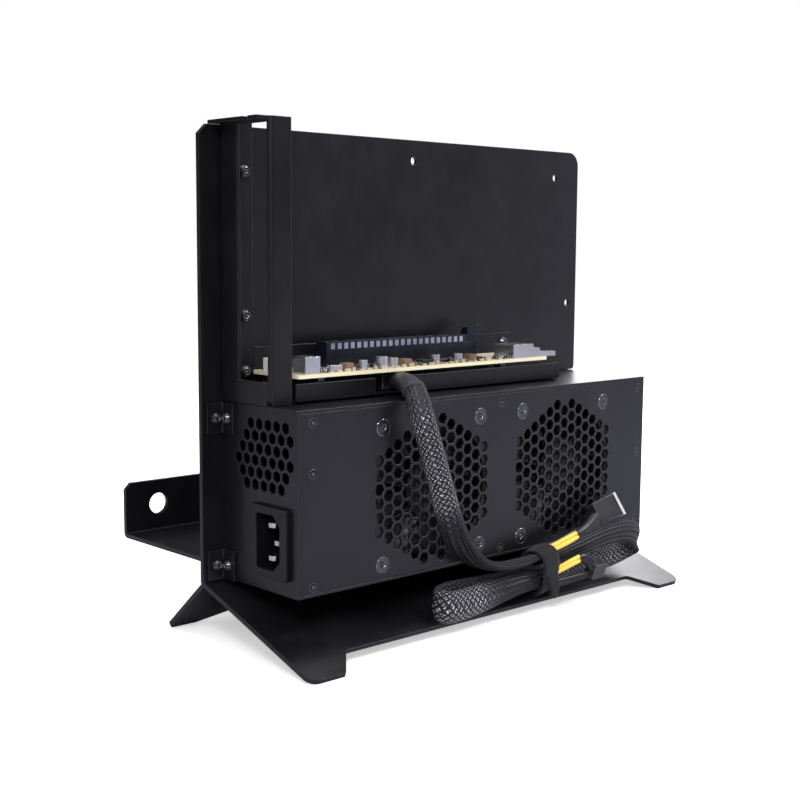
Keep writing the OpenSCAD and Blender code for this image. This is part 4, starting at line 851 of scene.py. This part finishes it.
def board_finish(name, mask, trace, edge, scale):
    """A face looks up or down where its normal's upright part is over 1/2, and is an edge where
    it isn't. On a face, sin(30 * distance) to the nearest of scattered points draws the traces as
    square rings, with a plated hole at each point."""
    made, tree, shader = finish(name, coat=0.25)
    place = add(tree, "TexCoord").outputs["Object"]
    squeezed = add(tree, "Mapping", [("Vector", place), ("Scale", (1, 1.6, 1))]).outputs[0]
    distance = add(tree, "TexVoronoi", [("Vector", squeezed), ("Scale", scale),
                                        ("Randomness", 0.6)],
                   distance="CHEBYCHEV").outputs["Distance"]
    rings = math(tree, "SINE", math(tree, "MULTIPLY", distance, 30.0))
    lines = math(tree, "GREATER_THAN", rings, 0.35)
    colour = mix(tree, math(tree, "MULTIPLY", lines, 0.35), (*mask, 1), (*trace, 1))
    colour = mix(tree, math(tree, "LESS_THAN", distance, 0.07), colour, PLATED)
    normal = add(tree, "NewGeometry").outputs["Normal"]
    up = add(tree, "SeparateXYZ", [("Vector", normal)]).outputs[2]
    face = math(tree, "GREATER_THAN", math(tree, "ABSOLUTE", up), 0.5)
    tree.links.new(mix(tree, face, (*edge, 1), colour), shader.inputs["Base Color"])
    layers = add(tree, "TexWave", [("Vector", place), ("Scale", 900.0)],
                 bands_direction="Z").outputs["Fac"]
    tree.links.new(times_plus(tree, layers, 0.2, 0.32), shader.inputs["Roughness"])
    bump = add(tree, "Bump", [("Strength", 0.3), ("Distance", 0.00008), ("Height", lines)])
    tree.links.new(bump.outputs[0], shader.inputs["Normal"])
    return made


finishes["cream_board"] = board_finish("riser_board_cream", (0.62, 0.57, 0.42), (0.72, 0.68, 0.54),
                                       (0.8, 0.74, 0.52), 260.0)
finishes["supply_mask"] = board_finish("supply_board_green", (0.035, 0.06, 0.025),
                                       (0.06, 0.1, 0.04), (0.5, 0.45, 0.25), 140.0)
print("board finishes")


# %% [markdown]
# Two finishes inside the supply show through the grilles: the yellow tape round the transformer,
# whose turns leave fine steps, and the lacquered wire of the coils.

# %% Wound finishes
def wound(name, dark, light, scale, direction, metallic=0.0, depth=0.4):
    """Turns side by side: bands across one direction change the colour and lift the surface."""
    made, tree, shader = finish(name, metallic=metallic, coat=0.3)
    place = add(tree, "TexCoord").outputs["Object"]
    turns = add(tree, "TexWave", [("Vector", place), ("Scale", scale), ("Distortion", 0.4)],
                bands_direction=direction).outputs["Fac"]
    tree.links.new(ramp(tree, turns, [(0.15, dark), (0.6, light)]), shader.inputs["Base Color"])
    shader.inputs["Roughness"].default_value = 0.32
    bump = add(tree, "Bump", [("Strength", depth), ("Distance", 0.0003), ("Height", turns)])
    tree.links.new(bump.outputs[0], shader.inputs["Normal"])
    return made


finishes["yellow_tape"] = wound("transformer_tape", (0.42, 0.3, 0.03), (0.72, 0.53, 0.07), 90.0,
                                "Z", depth=0.2)
finishes["copper_wire"] = wound("coil_wire", (0.22, 0.09, 0.03), (0.75, 0.4, 0.16), 260.0,
                                "Y", metallic=0.8)
print("wound finishes")

# %% [markdown]
# The frame's pieces come with plain slots named after their materials. Each slot takes the finish
# of its name, and it is linked to the object instead of the mesh, so that the frame's own data
# stays as it is. A new piece takes the finish of its own name where there is one.

# %% Dress the frame and the new pieces
for node in nodes.values():
    for material_slot in node.material_slots:
        slot_name = material_slot.material.name.split(".")[0]
        material_slot.link = "OBJECT"
        material_slot.material = finishes[slot_name]
new_pieces = [sleeve, *soft_pieces, crosses, small_bodies, small_ends]
for made in new_pieces:
    made.data.materials.append(finishes[made.name if made.name in finishes else made["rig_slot"]])
cover_finish = nodes["supply_cover"].material_slots[0].material.name
print("dressed", len(nodes), "nodes and", len(new_pieces), "pieces, the cover with", cover_finish)

# %% [markdown]
# ## Floor, light and background
# The picture has a white ground with a soft shadow. The floor is a pale diffuse sheet that shows
# the camera some of its own white, so that it reads white and still keeps the shadow. The world is
# white to the camera. To reflections it is a dark room with a lit ceiling, a pale wall on the
# right and a bright patch low behind, which the box's top mirrors at its right end. The rest of it
# is dim, because only that keeps black paint black.

# %% Lay the floor
REACH = 4.0
OWN_WHITE = 0.5
WHITE = (1, 1, 1, 1)
floor_mesh = bpy.data.meshes.new("floor")
floor_mesh.from_pydata([(-REACH, -REACH, 0), (REACH, -REACH, 0), (REACH, REACH, 0),
                        (-REACH, REACH, 0)], [], [(0, 1, 2, 3)])
floor = bpy.data.objects.new("floor", floor_mesh)
scene.collection.objects.link(floor)
floor_white = bpy.data.materials.new("floor_white")
floor_white.use_nodes = True
tree = floor_white.node_tree
tree.nodes.clear()
rays = add(tree, "LightPath").outputs
shade = mix(tree, rays["Is Glossy Ray"], (0.86, 0.86, 0.86, 1), (0.38, 0.38, 0.45, 1))
soft = add(tree, "BsdfDiffuse", [("Color", shade)])
shown = math(tree, "MULTIPLY", rays["Is Camera Ray"], OWN_WHITE)
glow = add(tree, "Emission", [("Color", WHITE), ("Strength", shown)])
both = add(tree, "AddShader", [(0, soft.outputs[0]), (1, glow.outputs[0])])
tree.links.new(both.outputs[0], tree.nodes.new("ShaderNodeOutputMaterial").inputs[0])
floor_mesh.materials.append(floor_white)
print("floor laid")

# %% Light the world
TO_PATCH = (0.676, 0.735, 0.05)
world = bpy.data.worlds.new("world")
scene.world = world
world.use_nodes = True
tree = world.node_tree
tree.nodes.clear()
looking = add(tree, "TexCoord").outputs["Generated"]
direction = add(tree, "SeparateXYZ", [("Vector", looking)]).outputs
right = math(tree, "SUBTRACT", direction[0], math(tree, "MAXIMUM", direction[1], 0.0))
wall = spread(tree, right, 0.66, 0.95, 0.06, 1.0)
ceiling = spread(tree, direction[2], 0.55, 0.95, 0.0, 1.0)
patch = spread(tree, dot(tree, looking, TO_PATCH), 0.955, 0.99, 0.0, 2.4)
room = math(tree, "MAXIMUM", math(tree, "MAXIMUM", wall, ceiling), patch)
path = add(tree, "LightPath").outputs
mirror = math(tree, "MAXIMUM", path["Is Glossy Ray"], path["Is Transmission Ray"])
strength = blend(tree, path["Is Camera Ray"], blend(tree, mirror, 0.62, room), 1.0)
tint = mix(tree, mirror, WHITE, (0.93, 0.92, 1.12, 1))
sky = add(tree, "Background", [("Color", tint), ("Strength", strength)])
tree.links.new(sky.outputs[0], tree.nodes.new("ShaderNodeOutputWorld").inputs[0])
print("world lit")


# %% [markdown]
# Four square lamps light the dock, as in a studio: the key hangs high at the right front, a lower
# one stands behind on the right, a large soft one hangs above, and the fill is at the left front.
# A lamp with a size gives shadows soft edges, which a point or a sun wouldn't.

# %% Hang the lamps
LAMP_COLOUR = (0.97, 0.965, 1.0)


def lamp(name, place, aim, size, power):
    """A square area light at place: it shines along -z, so its z runs from aim to place, and its
    x lies level."""
    data = bpy.data.lights.new(name, "AREA")
    data.size = size
    data.energy = power
    data.color = LAMP_COLOUR
    hung = bpy.data.objects.new(name, data)
    scene.collection.objects.link(hung)
    z = unit(np.array(place, float) - np.array(aim, float))
    x = unit(np.cross([0, 0, 1.0], z))
    axes = Matrix([x, np.cross(z, x), z]).transposed().to_4x4()
    hung.matrix_world = Matrix.Translation(place) @ axes


lamp("key", (0.72, -0.52, 0.9), (0.62, -0.42, 0), 0.4, 9)
lamp("window", (0.74, 0.37, 0.52), (0.11, -0.08, 0.02), 0.42, 5)
lamp("top", (-0.1, -0.1, 1.3), (0, 0, 0), 1.1, 5)
lamp("fill", (-0.8, -0.8, 0.85), (0, 0, 0.05), 0.35, 9)
scene.view_settings.view_transform = "Standard"
print("lamps hung")
